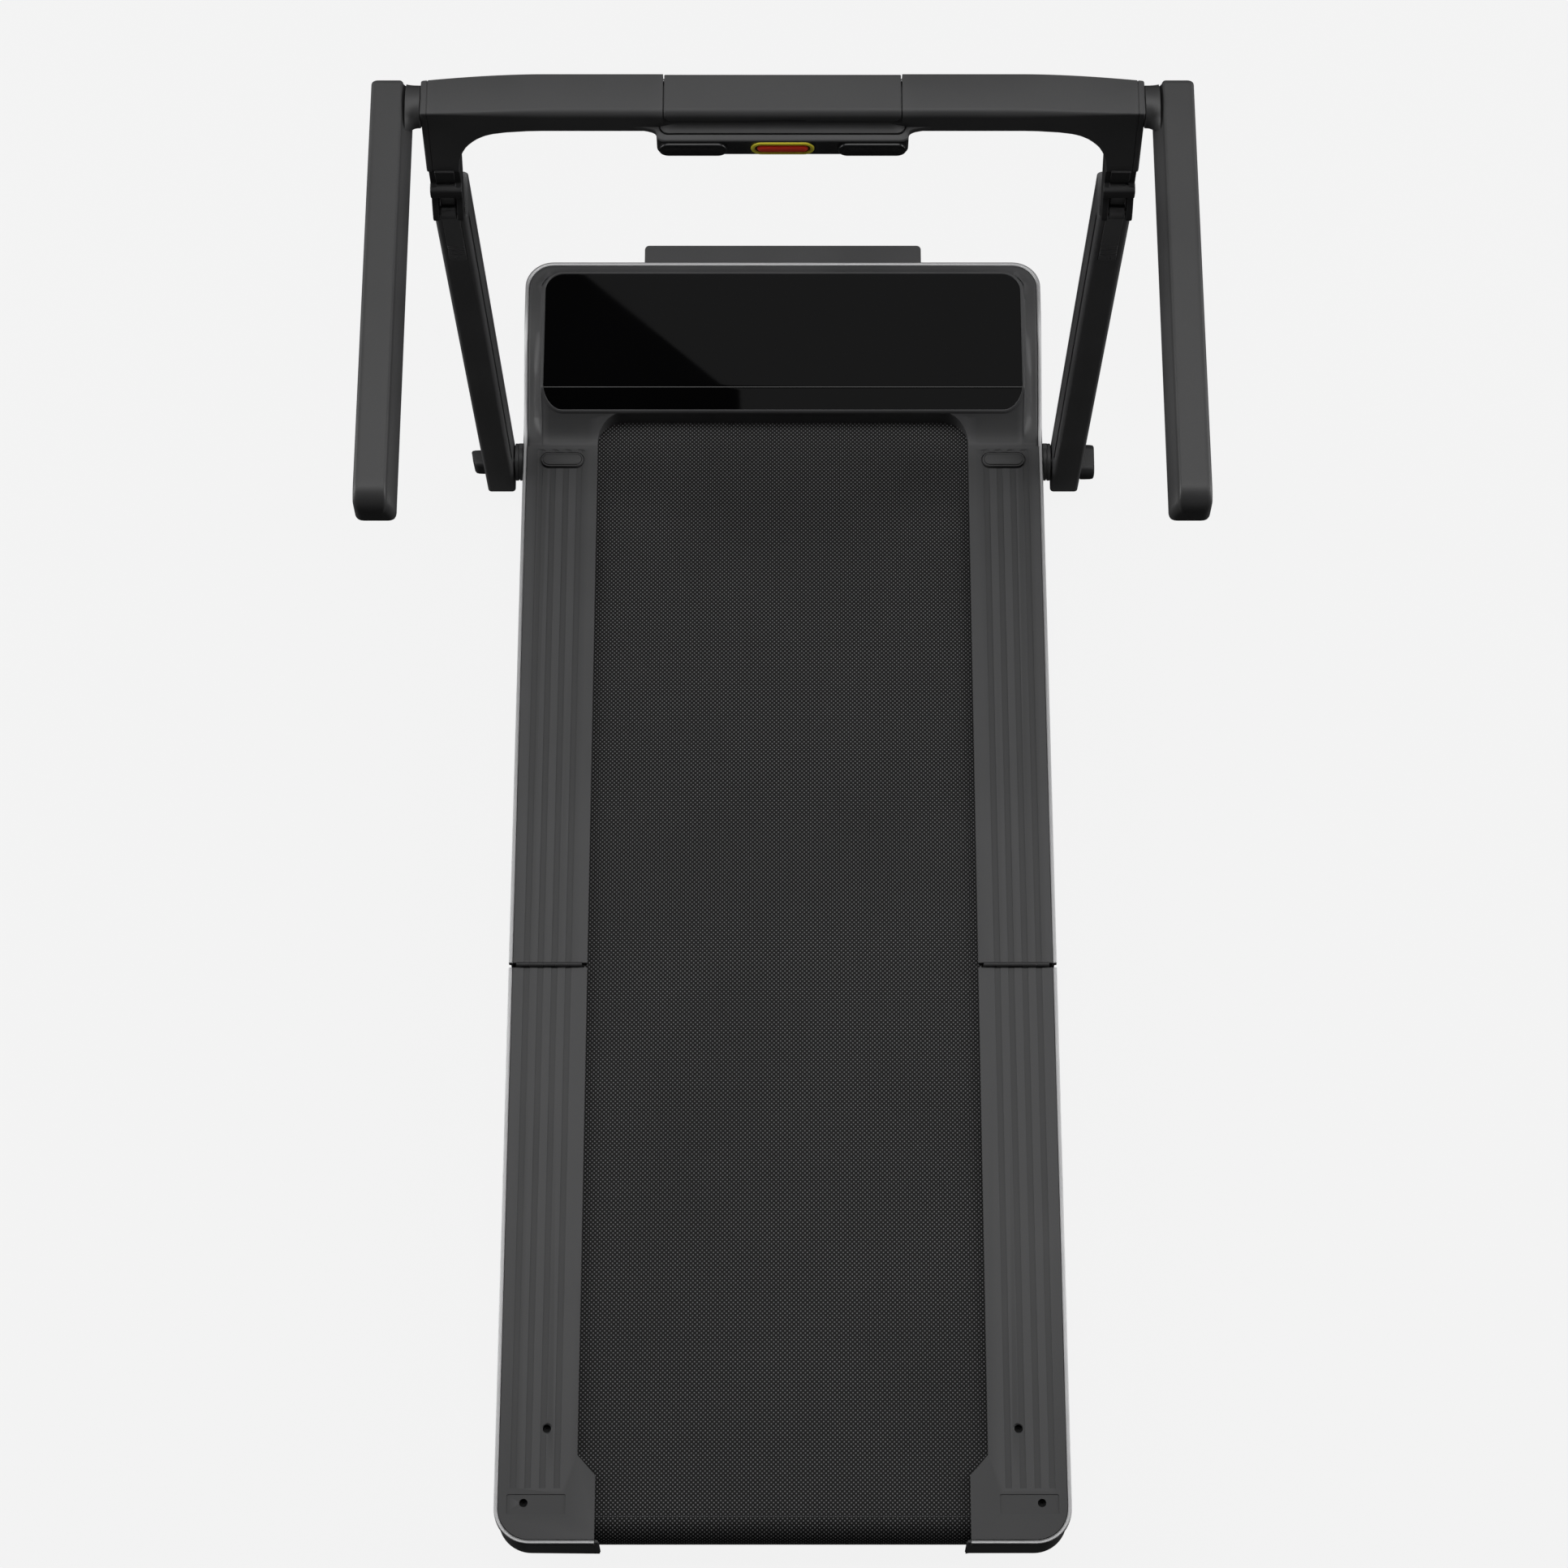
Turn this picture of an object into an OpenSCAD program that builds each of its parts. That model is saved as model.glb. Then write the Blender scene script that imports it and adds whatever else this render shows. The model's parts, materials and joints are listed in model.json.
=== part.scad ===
// Folding treadmill: a two-part running deck that folds in half, two leaning uprights,
// a crossbar with a small console, and two long armrests.
// Y runs along the deck towards the motor hood, X across it, Z up. Millimetres.

/* [Deck] */
// Width over the two silver trim strips
deck_w = 584; // [574:1:594]
// Visible width of the running belt between the side rails
belt_gap_w = 418; // [400:1:424]
// Height of the side rails' top face above the floor
rail_top = 68; // [66:0.5:70]
// Length from the fold line to the rear end
rear_len = 622.5; // [600:0.5:640]
// Length from the fold line to the front wall of the motor hood
front_len = 841; // [836:1:850]
// Length from the fold line to the seam between side rails and hood
hood_start = 622; // [621:0.5:624]
// Gap between the front and rear rails at the fold
fold_gap = 5.5; // [5:0.1:6]
// Height of the fold hinge's pins above the floor
fold_pin_z = 69.7; // [69.5:0.1:70.5]
// Corner radius of the rear end, seen from above
rear_corner_r = 37; // [20:1:45]

/* [Running belt] */
// Radius of the front and rear rollers
roller_r = 21; // [20:0.5:21]
// Height of the rollers' axis
roller_z = 39; // [39:0.5:40]
// Distance from the fold to the front roller
front_roller_y = 672; // [670:1:676]
// Distance from the fold to the rear roller
rear_roller_y = 593; // [590:1:594]
// Thickness of the running belt
belt_t = 2; // [1.6:0.1:2]
// Full width of the running belt, its edges hidden under the rails
belt_w = 427; // [424:1:428]

/* [Hood] */
// Height of the hood's front edge
hood_front_z = 111; // [108:0.5:113]
// Height of the crease between the glass panel's two faces
crease_z = 110; // [106:0.5:112]
// Distance from the fold to that crease
crease_y = 676; // [674:1:682]
// Distance from the fold to the glass panel's rear edge
glass_rear_y = 655.5; // [655:0.5:658]
// Distance from the fold to the glass panel's front edge
glass_front_y = 822; // [810:1:826]
// Half the width of the glass panel
glass_half_w = 272; // [262:1:273]
// Corner radius of the hood, seen from above
hood_corner_r = 32; // [20:1:40]
// Depth of the block that stands out in front of the hood
stand_block_d = 25; // [15:1:30]

/* [Uprights] */
// Backward lean of the uprights in use, in degrees
lean = 6.3; // [5.5:0.1:7]
// Distance from the fold to the uprights' lower pivot
pivot_y = 615.7; // [612:0.1:618]
// Height of the lower pivot
pivot_z = 45; // [42:0.5:46]
// Upright section, across the deck
upright_w = 31.5; // [30:0.5:32]
// Upright section, along the deck
upright_d = 50; // [44:1:52]
// Distance from the centre line to the middle of an upright
upright_x = 319.5; // [319:0.5:321]
// Distance from the lower pivot up to the console hinge
hinge_u = 734; // [720:1:745]

/* [Console] */
// Height of the crossbar's top face
bar_top = 920; // [915:1:930]
// Height of the crossbar's section
bar_h = 32; // [30:1:36]
// Half the length of the crossbar
bar_half = 336; // [334:0.5:338]
// Position of the crossbar's rear face, from the fold
bar_rear_y = 522; // [520:0.5:524]
// Position of the crossbar's front face, from the fold
bar_front_y = 566; // [562:0.5:568]
// Half the width of the tablet flap
flap_half = 110; // [100:1:112]
// Length of an armrest
arm_len = 441; // [420:1:450]
// Width of an armrest
arm_w = 37.5; // [36:0.5:40]

/* [Hidden] */
$fn = 64;

deck_half = deck_w / 2;
body_half = deck_half + 1;
rail_t = 3;
rail_in = belt_gap_w / 2;
rail_out = deck_half - 3.8;
groove_x = rail_in + 15.2;
groove_pitch = 14.7;
groove_w = 7;
groove_d = 0.6;
trim_h = 7.8;
trim_t = 1.5;
trim_inset = body_half - deck_half;
trim_z0 = rail_top - trim_h;
skirt_z0 = 15;
cover_z0 = 12;
cover_t = 1.5;
fold_y = (rear_len - front_len - stand_block_d) / 2;
half_gap = fold_gap / 2;
belt_clear = 0.3;
belt_in_r = roller_r + belt_clear;
belt_out_r = belt_in_r + belt_t;
board_top = roller_z + roller_r;
board_t = 15;
tube_x0 = 232;
tube_w = 20;
tube_z0 = 14;
tube_h = 44;
tube_wall = 2;
member_z0 = 21;
member_h = 16;
member_w = 30;
member_ys = [20, 200, 400, 590];
plate_z = 17;
axle_r = 6;
fit = 0.05;
pulley_x = 217.6;
pulley_w = 11;
roller_pulley_r = 20.5;
motor_pulley_r = 11;
motor_y = 775;
motor_z = 55;
motor_r = 34;
drive_belt_t = 2;
wheel_y = 820;
wheel_z = 18;
wheel_r = 17;
wheel_axle_r = 4;
block_half = 159;
block_z0 = 34;
block_z1 = 100;
inlet_x = -199;
switch_x = 180;
switch_y = front_len - 9;
switch_z = 41;
switch_pin_r = 1.5;
foot_h = 12;
pad_h = 3;
pad_y = 602;
pin_r = 1.3;
knuckle_r = 2.6;
knuckle_len = 13.8;
leaf_x0 = 214.6;
leaf_t = half_gap - 0.15;
boss_r = 14.8;
flange_r = 21;
shaft_r = 7;
shaft_end_r = 5;
hinge_v = -(upright_d / 2 + 2);
barrel_r = 8.5;
console_pin_r = 3;
cheek_t = 6;
cheek_r = 10;
hinge_y = pivot_y - hinge_u * sin(lean) + hinge_v * cos(lean);
hinge_z = pivot_z + hinge_u * cos(lean) + hinge_v * sin(lean);
bar_bottom = bar_top - bar_h;
leg_in = 302;
leg_bottom = 829;
leg_rear_y = 513;
leg_front_y = 556;
neck_y = 540;
neck_z = bar_top - 16.5;
neck_r = 16.5;
spigot_r = 9;
arm_in = 345;
arm_top = bar_top;
arm_h = 38;
arm_front_y = 560.5;
arm_roll_r = 20;
arm_edge_r = 4;
fascia_y = 507;
fascia_z0 = 873.5;
fascia_z1 = 898;
bump_half = 121;
flap_pin_y = bar_front_y - 5;
flap_pin_z = bar_top - 5;

dark = [0.16, 0.16, 0.17];
black = [0.07, 0.07, 0.08];
rail_grey = [0.27, 0.27, 0.28];
silver = [0.78, 0.78, 0.80];
steel = [0.55, 0.56, 0.58];
rubber_grey = [0.10, 0.10, 0.10];
board_brown = [0.45, 0.35, 0.25];
board_green = [0.10, 0.35, 0.18];

// The deck's parts are drawn from the fold line; this moves them to the part's origin,
// which is under the middle of the whole treadmill.
module at_fold() {
    translate([0, fold_y, 0]) children();
}

// Draws the children on the right side and mirrored on the left.
module both_sides() {
    children();
    mirror([1, 0, 0]) children();
}

// A box from its low corner to its high corner.
module box(low, high) {
    translate(low) cube(high - low);
}

// A cylinder along X between two X values.
module rod_x(x0, x1, y, z, r) {
    translate([x0, y, z]) rotate([0, 90, 0]) cylinder(h = x1 - x0, r = r);
}

// A cylinder along Y between two Y values.
module rod_y(y0, y1, x, z, r) {
    translate([x, y1, z]) rotate([90, 0, 0]) cylinder(h = y1 - y0, r = r);
}

// A YZ outline extruded along X from x0 to x1.
module along_x(x0, x1) {
    translate([x0, 0, 0]) rotate([90, 0, 90]) linear_extrude(x1 - x0) children();
}

// An XZ outline extruded along Y from y0 to y1.
module along_y(y0, y1) {
    translate([0, y1, 0]) rotate([90, 0, 0]) linear_extrude(y1 - y0) children();
}

// A flat rounded rectangle from its low corner to its high corner.
module rounded(low, high, r) {
    translate([low.x + r, low.y]) square([high.x - low.x - 2 * r, high.y - low.y]);
    translate([low.x, low.y + r]) square([high.x - low.x, high.y - low.y - 2 * r]);
    for (x = [low.x + r, high.x - r], y = [low.y + r, high.y - r]) {
        translate([x, y]) circle(r);
    }
}

// The outline of a belt round two circles, filled.
module belt_outline(c1, r1, c2, r2) {
    span = c2 - c1;
    phi = atan2(span.y, span.x);
    beta = acos((r1 - r2) / norm(span));
    up = [cos(phi + beta), sin(phi + beta)];
    down = [cos(phi - beta), sin(phi - beta)];
    translate(c1) circle(r1);
    translate(c2) circle(r2);
    polygon([c1 + r1 * up, c1 + r1 * down, c2 + r2 * down, c2 + r2 * up]);
}

// ---- frames ----

module side_tube(y0, y1) {
    difference() {
        box([tube_x0, y0, tube_z0], [tube_x0 + tube_w, y1, tube_z0 + tube_h]);
        box([tube_x0 + tube_wall, y0 + tube_wall, tube_z0 + tube_wall],
            [tube_x0 + tube_w - tube_wall, y1 - tube_wall, tube_z0 + tube_h - tube_wall]);
    }
}

module cross_member(y, top) {
    box([-tube_x0, y, member_z0], [tube_x0, y + member_w, top]);
}

module front_frame() {
    color(dark) at_fold() difference() {
        union() {
            both_sides() side_tube(half_gap, 798);
            for (y = member_ys) {
                cross_member(y, member_z0 + member_h);
            }
            box([-tube_x0, 740, tube_z0], [tube_x0, 798, plate_z]);
            both_sides() for (x = [229, 260]) {
                box([x, 797, tube_z0], [x + 3, 826, 38]);
            }
            both_sides() box([tube_x0, 797, 30], [263, 800, 38]);
        }
        both_sides() rod_x(tube_x0 - 1, tube_x0 + tube_w + 1, front_roller_y, roller_z, axle_r + fit);
        rod_x(-270, 270, wheel_y, wheel_z, wheel_axle_r + fit);
    }
}

module rear_frame() {
    color(dark) at_fold() difference() {
        union() {
            both_sides() side_tube(-606, -half_gap);
            for (y = [-50, -250, -430, -556]) {
                cross_member(y, board_top - board_t);
            }
        }
        both_sides() rod_x(tube_x0 - 1, tube_x0 + tube_w + 1, -rear_roller_y, roller_z, axle_r + fit);
        both_sides() rod_y(-607, -600, tube_x0 + tube_w / 2, roller_z, 3 + fit);
    }
}

module front_deck_board() {
    color(board_brown) at_fold()
        box([-226, 4, board_top - board_t], [226, 642, board_top]);
}

module rear_deck_board() {
    color(board_brown) at_fold()
        box([-226, -562, board_top - board_t], [226, -4, board_top]);
}

module deck_cushions() {
    color(rubber_grey) at_fold() both_sides() for (y = member_ys) {
        translate([170, y + member_w / 2, member_z0 + member_h])
            cylinder(h = board_top - board_t - member_z0 - member_h, r = 13);
    }
}

// ---- side rails and trim ----

// Cross section of a side rail: top plate with four shallow grooves, belt lip and outer skirt.
module rail_section() {
    difference() {
        union() {
            translate([rail_in, rail_top - rail_t]) square([rail_out - rail_in, rail_t]);
            translate([rail_in, rail_top - rail_t - 1.4]) square([2.2, 2]);
            translate([rail_out - 2.2, trim_z0 - 2.4]) square([2.2, 8]);
            translate([rail_out - 2.2, trim_z0 - 2.4]) square([body_half - rail_out + 2.2, 2.2]);
            translate([body_half - 2, skirt_z0]) square([2, trim_z0 - 0.2 - skirt_z0]);
        }
        for (i = [0:3]) {
            translate([groove_x + i * groove_pitch, rail_top - groove_d]) square([groove_w, groove_d + 1]);
        }
    }
}

module front_rail() {
    difference() {
        along_y(half_gap, hood_start) rail_section();
        rod_x(rail_out - 5, body_half + 1, pivot_y, pivot_z, boss_r + 0.3);
    }
}

module left_front_rail() {
    color(rail_grey) at_fold() mirror([1, 0, 0]) front_rail();
}

module right_front_rail() {
    color(rail_grey) at_fold() front_rail();
}

// Plan of the rear end: the deck's outline with rounded rear corners.
module rear_plan(inset) {
    r = rear_corner_r - inset;
    translate([0, -rear_len + inset + r]) square([body_half - inset, rear_len]);
    translate([0, -rear_len + inset]) square([body_half - inset - r, rear_len]);
    translate([body_half - inset - r, -rear_len + inset + r]) circle(r);
}

// Plan of the end cap's inner step beside the rear roller.
end_cap_x = 190.5;
step_y0 = -531;
step_y1 = -552;

module end_cap_plan() {
    polygon([[rail_in + 1, step_y0], [end_cap_x, step_y1], [end_cap_x, -rear_len - 1],
             [body_half + 1, -rear_len - 1], [body_half + 1, step_y0]]);
}

module rear_rail() {
    intersection() {
        linear_extrude(100) rear_plan(0);
        difference() {
            union() {
                intersection() {
                    along_y(-rear_len, -half_gap) rail_section();
                    union() {
                        linear_extrude(trim_z0 - 0.2) rear_plan(0.01);
                        linear_extrude(100) rear_plan(body_half - rail_out);
                    }
                }
                translate([0, 0, rail_top - rail_t]) linear_extrude(rail_t) intersection() {
                    end_cap_plan();
                    rear_plan(body_half - rail_out);
                }
                translate([0, 0, skirt_z0]) linear_extrude(trim_z0 - 0.2 - skirt_z0) difference() {
                    intersection() {
                        end_cap_plan();
                        rear_plan(0);
                    }
                    rear_plan(2);
                }
                translate([0, 0, trim_z0 - 2.4]) linear_extrude(rail_top - trim_z0) difference() {
                    intersection() {
                        end_cap_plan();
                        rear_plan(body_half - rail_out);
                    }
                    rear_plan(body_half - rail_out + 2.2);
                }
                translate([0, 0, trim_z0 - 2.4]) linear_extrude(2.2) difference() {
                    intersection() {
                        end_cap_plan();
                        rear_plan(0);
                    }
                    rear_plan(body_half - rail_out + 2.2);
                }
            }
            linear_extrude(trim_z0) difference() {
                translate([0, -rear_len]) square([end_cap_x, 100]);
                translate([end_cap_x, -rear_len]) square(100);
            }
            rod_y(-rear_len - 1, -rear_len + 5, tube_x0 + tube_w / 2, roller_z, 7);
        }
    }
}

module left_rear_rail() {
    color(rail_grey) at_fold() mirror([1, 0, 0]) rear_rail();
}

module right_rear_rail() {
    color(rail_grey) at_fold() rear_rail();
}

module rear_trim() {
    color(silver) at_fold() both_sides() translate([0, 0, trim_z0])
        linear_extrude(rail_top - trim_z0) difference() {
            intersection() {
                rear_plan(trim_inset);
                translate([end_cap_x, -rear_len]) square([200, rear_len - half_gap]);
            }
            rear_plan(body_half - rail_out - 0.2);
        }
}

// ---- hood ----

function clamp01(t) = min(1, max(0, t));
function smooth(t) = let (c = clamp01(t)) c * c * (3 - 2 * c);
// Height of the hood's outer edge, where the trim runs, at distance y from the fold.
function hood_side_z(y) = rail_top + (hood_front_z - 1.5 - rail_top) * smooth((y - hood_start) / 155);
// Height of the hood's middle: concave behind the glass, then its rear face and its top face.
function hood_mid_z(y) =
    y < glass_rear_y ? rail_top + glass_rise * pow((y - hood_start) / (glass_rear_y - hood_start), 2)
    : y < crease_y ? crease_z + glass_slope * (y - crease_y)
    : crease_z + (hood_front_z - crease_z) * clamp01((y - crease_y) / (glass_front_y - crease_y));
// The hood's front edge rolls down to the front wall.
function hood_roll(y) = let (t = clamp01((y - front_len + 8) / 8)) 8 * (1 - sqrt(1 - t * t));
function hood_z(x, y) =
    let (t = smooth((abs(x) - glass_half_w + 2) / (deck_half - glass_half_w)))
    hood_mid_z(y) * (1 - t) + hood_side_z(y) * t - hood_roll(y);

glass_rise = 19;
glass_slope = (crease_z - rail_top - glass_rise) / (crease_y - glass_rear_y);

hood_ys = [hood_start, 630, 637, 643, 649, glass_rear_y, 662, 669, crease_y, 695, 720, 750, 780,
           glass_front_y, 829, 833, 836, 838.5, 840, front_len];
hood_xs = [glass_half_w, 277, 281, 286, deck_half - 1.6];

// A block under the hood's top surface: its sides come in and its top comes down.
module hood_block(side, drop, low) {
    xs = concat([for (i = [4:-1:0]) -hood_xs[i] + side], [for (i = [0:4]) hood_xs[i] - side]);
    nx = len(xs);
    ny = len(hood_ys);
    top = [for (y = hood_ys, x = xs) [x, y, hood_z(x, y) - drop]];
    base = [for (p = top) [p.x, p.y, low]];
    n = nx * ny;
    last = n - nx;
    faces = concat(
        [for (j = [0:nx:last - nx], i = [j:j + nx - 2]) [i, i + nx, i + nx + 1, i + 1]],
        [for (j = [0:nx:last - nx], i = [j:j + nx - 2]) [n + i, n + i + 1, n + i + nx + 1, n + i + nx]],
        [for (j = [0:nx:last - nx]) [j, n + j, n + j + nx, j + nx]],
        [for (j = [nx - 1:nx:last - 1]) [j, j + nx, n + j + nx, n + j]],
        [for (i = [0:nx - 2]) [i, i + 1, n + i + 1, n + i]],
        [for (i = [last:n - 2]) [i, n + i, n + i + 1, i + 1]]
    );
    polyhedron(concat(top, base), faces, convexity = 6);
}

// Plan of the deck's front end, with rounded front corners.
module front_plan(inset) {
    r = hood_corner_r - inset;
    half = body_half - inset;
    end = front_len - inset;
    translate([-half, hood_start]) square([2 * half, end - r - hood_start]);
    translate([-half + r, hood_start]) square([2 * (half - r), end - hood_start]);
    for (x = [-half + r, half - r]) {
        translate([x, end - r]) circle(r);
    }
}

// A YZ band that follows the hood's outer edge, from one depth below it to another.
module hood_edge_band(low, high) {
    upper = [for (y = hood_ys) [y, hood_side_z(y) - high]];
    lower = [for (i = [len(hood_ys) - 1:-1:0]) [hood_ys[i], hood_side_z(hood_ys[i]) - low]];
    polygon(concat(upper, lower));
}

// The skirt under the trim as a YZ outline.
module hood_skirt_side() {
    upper = [for (y = hood_ys) [y, hood_side_z(y) - trim_h - 0.2]];
    polygon(concat(upper, [[front_len, skirt_z0], [hood_start, skirt_z0]]));
}

glass_t = 3;

module glass_plan(grow) {
    half = glass_half_w + grow;
    rounded([-half, glass_rear_y - grow], [half, glass_front_y + grow], 22 + grow);
}

// The two planes of the glass panel as a YZ outline, from its underside to its top.
module glass_side(lift, drop) {
    ys = [glass_rear_y - 6, crease_y, glass_front_y + 6];
    flat = (hood_front_z - crease_z) / (glass_front_y - crease_y);
    zs = [crease_z + glass_slope * (ys[0] - crease_y), crease_z, hood_front_z + 6 * flat];
    polygon([[ys[0], zs[0] - drop], [ys[1], zs[1] - drop], [ys[2], zs[2] - drop],
             [ys[2], zs[2] + lift], [ys[1], zs[1] + lift], [ys[0], zs[0] + lift]]);
}

module hood_shell() {
    color(rail_grey) at_fold() difference() {
        union() {
            intersection() {
                hood_block(0, 0, skirt_z0);
                linear_extrude(200) front_plan(trim_inset + trim_t + 0.1);
            }
            intersection() {
                linear_extrude(200) front_plan(0);
                along_x(-300, 300) hood_skirt_side();
            }
        }
        // room inside for the motor, the roller and the electronics
        intersection() {
            hood_block(0, 6, skirt_z0 - 1);
            linear_extrude(200) front_plan(5.6);
            box([-400, hood_start + 20, 0], [400, front_len, 200]);
        }
        box([-body_half - 1, hood_start - 1, 0], [body_half + 1, hood_start, rail_top]);
        box([-body_half + 5.6, hood_start - 1, 0], [body_half - 5.6, hood_start + 21, rail_top - rail_t]);
        // the opening that the running belt comes out of
        translate([0, 0, rail_top - rail_t - 1]) linear_extrude(60)
            rounded([-rail_in, 560], [rail_in, 656], 27);
        // seat of the glass panel
        intersection() {
            linear_extrude(200) glass_plan(0.4);
            along_x(-300, 300) glass_side(6, glass_t);
        }
        // window under the glass for the display
        box([-64, 692, 60], [64, 742, 140]);
        // notches round the pivot brackets, and openings for the inlet and the switch
        both_sides() rod_x(rail_out - 5, body_half + 1, pivot_y, pivot_z, boss_r + 0.3);
        box([inlet_x - 17.2, front_len - 8, 27.8], [inlet_x + 17.2, front_len + 1, 54.2]);
        box([switch_x - 9, front_len - 8, 30], [switch_x + 9, front_len + 1, 52]);
        // wheel arches
        both_sides() box([227, 790, 0], [266, front_len + 1, 39]);
    }
}

module hood_glass() {
    color([0.03, 0.03, 0.035]) at_fold() intersection() {
        linear_extrude(200) glass_plan(0);
        along_x(-300, 300) glass_side(0, glass_t);
    }
}

module display_board() {
    color(board_green) at_fold() {
        z = crease_z - 11;
        box([-62, 694, z], [62, 740, z + 1.6]);
        for (x = [-42, -14, 14, 42]) {
            box([x - 10, 704, z + 1.6], [x + 10, 730, z + 6]);
        }
    }
}

module front_trim() {
    color(silver) at_fold() {
        both_sides() box([rail_out + 0.2, half_gap, trim_z0], [deck_half, hood_start, rail_top]);
        intersection() {
            along_x(-deck_half, deck_half) hood_edge_band(trim_h, 0);
            linear_extrude(200) difference() {
                front_plan(trim_inset);
                front_plan(trim_inset + trim_t);
            }
        }
    }
}

module front_bottom_cover() {
    color(black) at_fold() difference() {
        translate([0, 0, cover_z0]) linear_extrude(cover_t) union() {
            translate([-body_half + 3, half_gap]) square([2 * body_half - 6, hood_start - half_gap]);
            front_plan(3);
        }
        both_sides() box([227, 790, 0], [266, front_len, 20]);
    }
}

module rear_bottom_cover() {
    color(black) at_fold() translate([0, 0, cover_z0]) linear_extrude(cover_t) both_flat()
        intersection() {
            rear_plan(3);
            union() {
                translate([0, -604]) square([400, 604 - half_gap]);
                translate([end_cap_x, -rear_len]) square([200, 100]);
            }
        }
}

module both_flat() {
    children();
    mirror([1, 0]) children();
}

// ---- drive ----

module motor_housing() {
    color(steel) at_fold() difference() {
        union() {
            rod_x(60, 200, motor_y, motor_z, motor_r);
            for (x = [70, 170]) {
                box([x, motor_y - 30, plate_z], [x + 20, motor_y + 10, motor_z]);
            }
        }
        rod_x(64, 196, motor_y, motor_z, motor_r - 4);
        rod_x(190, 201, motor_y, motor_z, 7 + fit);
    }
}

module motor_rotor() {
    color(steel) at_fold() {
        rod_x(68, 192, motor_y, motor_z, 26);
        rod_x(190, pulley_x + pulley_w, motor_y, motor_z, 7);
        rod_x(pulley_x, pulley_x + pulley_w, motor_y, motor_z, motor_pulley_r);
        rod_x(204, 212, motor_y, motor_z, 28);
    }
}

module drive_belt() {
    roller_c = [front_roller_y, roller_z];
    motor_c = [motor_y, motor_z];
    color(rubber_grey) at_fold() along_x(pulley_x + 1, pulley_x + pulley_w - 1) difference() {
        belt_outline(roller_c, roller_pulley_r + belt_clear + drive_belt_t,
                     motor_c, motor_pulley_r + belt_clear + drive_belt_t);
        belt_outline(roller_c, roller_pulley_r + belt_clear, motor_c, motor_pulley_r + belt_clear);
    }
}

module motor_controller() {
    color(steel) at_fold() {
        box([-220, 742, plate_z], [-60, 796, 23]);
        for (i = [0:11]) {
            box([-214 + i * 13, 746, 23], [-210 + i * 13, 792, 50]);
        }
    }
}

module power_inlet() {
    x = inlet_x;
    color(black) at_fold() difference() {
        union() {
            box([x - 17, front_len - 26, 28], [x + 17, front_len + 0.5, 54]);
            box([x - 21, front_len - 8.8, 24], [x + 21, front_len - 5.8, 58]);
        }
        box([x - 13, front_len - 16, 32], [x + 13, front_len + 1, 50]);
    }
    color(steel) at_fold() for (pin = [-7, 0, 7]) {
        box([x + pin - 1, front_len - 16, 38], [x + pin + 1, front_len - 4, 44]);
    }
}

// A rocker switch: it tips about the X axis through its two pins.
module power_switch() {
    color("firebrick") at_fold() {
        along_x(switch_x - 8.5, switch_x + 8.5)
            polygon([[front_len - 12, 33], [front_len - 2, 31.5], [front_len + 1.5, 34],
                     [front_len - 0.5, 41], [front_len + 0.4, 48.5], [front_len - 3, 50], [front_len - 12, 49]]);
        rod_x(switch_x - 10, switch_x + 10, switch_y, switch_z, switch_pin_r);
    }
}

// The case that the rocker's pins turn in, fixed behind the hood's front wall.
module switch_housing() {
    wall_y = front_len - 5.7;
    color(black) at_fold() difference() {
        union() {
            box([switch_x - 10.2, front_len - 20, 29], [switch_x + 10.2, wall_y, 53]);
            box([switch_x - 13, wall_y - 1.5, 27], [switch_x + 13, wall_y, 55]);
        }
        box([switch_x - 8.9, front_len - 18.5, 30.2], [switch_x + 8.9, front_len, 51.8]);
        rod_x(switch_x - 11, switch_x + 11, switch_y, switch_z, switch_pin_r + fit);
    }
}

module front_stand_block() {
    front = front_len + stand_block_d;
    color(rail_grey) at_fold() difference() {
        translate([0, 0, block_z0]) linear_extrude(block_z1 - block_z0)
            rounded([-block_half, front_len - 20], [block_half, front], 5);
        box([-block_half - 3, front_len - 30, block_z0 - 4], [block_half + 3, front_len, block_z1 + 2]);
        box([-block_half + 4, front_len - 1, block_z0 + 4], [block_half - 4, front - 4, block_z1 - 4]);
    }
}

module front_feet() {
    color(rubber_grey) at_fold() both_sides() for (y = [40, 690]) {
        translate([240, y, 0]) cylinder(h = foot_h, r = 16);
    }
}

module rear_feet() {
    color(rubber_grey) at_fold() both_sides() for (y = [-40, -560]) {
        translate([240, y, 0]) cylinder(h = foot_h, r = 16);
    }
}

module rail_buffer_pads() {
    color(rubber_grey) at_fold() both_sides() translate([0, 0, rail_top]) {
        linear_extrude(pad_h) rounded([225, pad_y - 8.6], [272, pad_y + 8.6], 8.5);
    }
}

module wheel_axle() {
    color(steel) at_fold() rod_x(-265, 265, wheel_y, wheel_z, wheel_axle_r);
}

module transport_wheels() {
    color(rubber_grey) at_fold() both_sides() difference() {
        rod_x(236, 256, wheel_y, wheel_z, wheel_r);
        rod_x(235, 257, wheel_y, wheel_z, wheel_axle_r);
    }
}

// ---- rollers and running belt ----

module roller(y) {
    difference() {
        rod_x(-217, 217, y, roller_z, roller_r);
        rod_x(-218, 218, y, roller_z, axle_r + fit);
        rod_x(-200, 200, y, roller_z, roller_r - 3);
    }
}

module front_roller() {
    color(steel) at_fold() {
        roller(front_roller_y);
        difference() {
            rod_x(216, pulley_x + pulley_w, front_roller_y, roller_z, roller_pulley_r);
            rod_x(215, 240, front_roller_y, roller_z, axle_r + fit);
        }
    }
}

module rear_roller() {
    color(steel) at_fold() roller(-rear_roller_y);
}

module front_roller_axle() {
    color(steel) at_fold() rod_x(-252, 252, front_roller_y, roller_z, axle_r);
}

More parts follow.
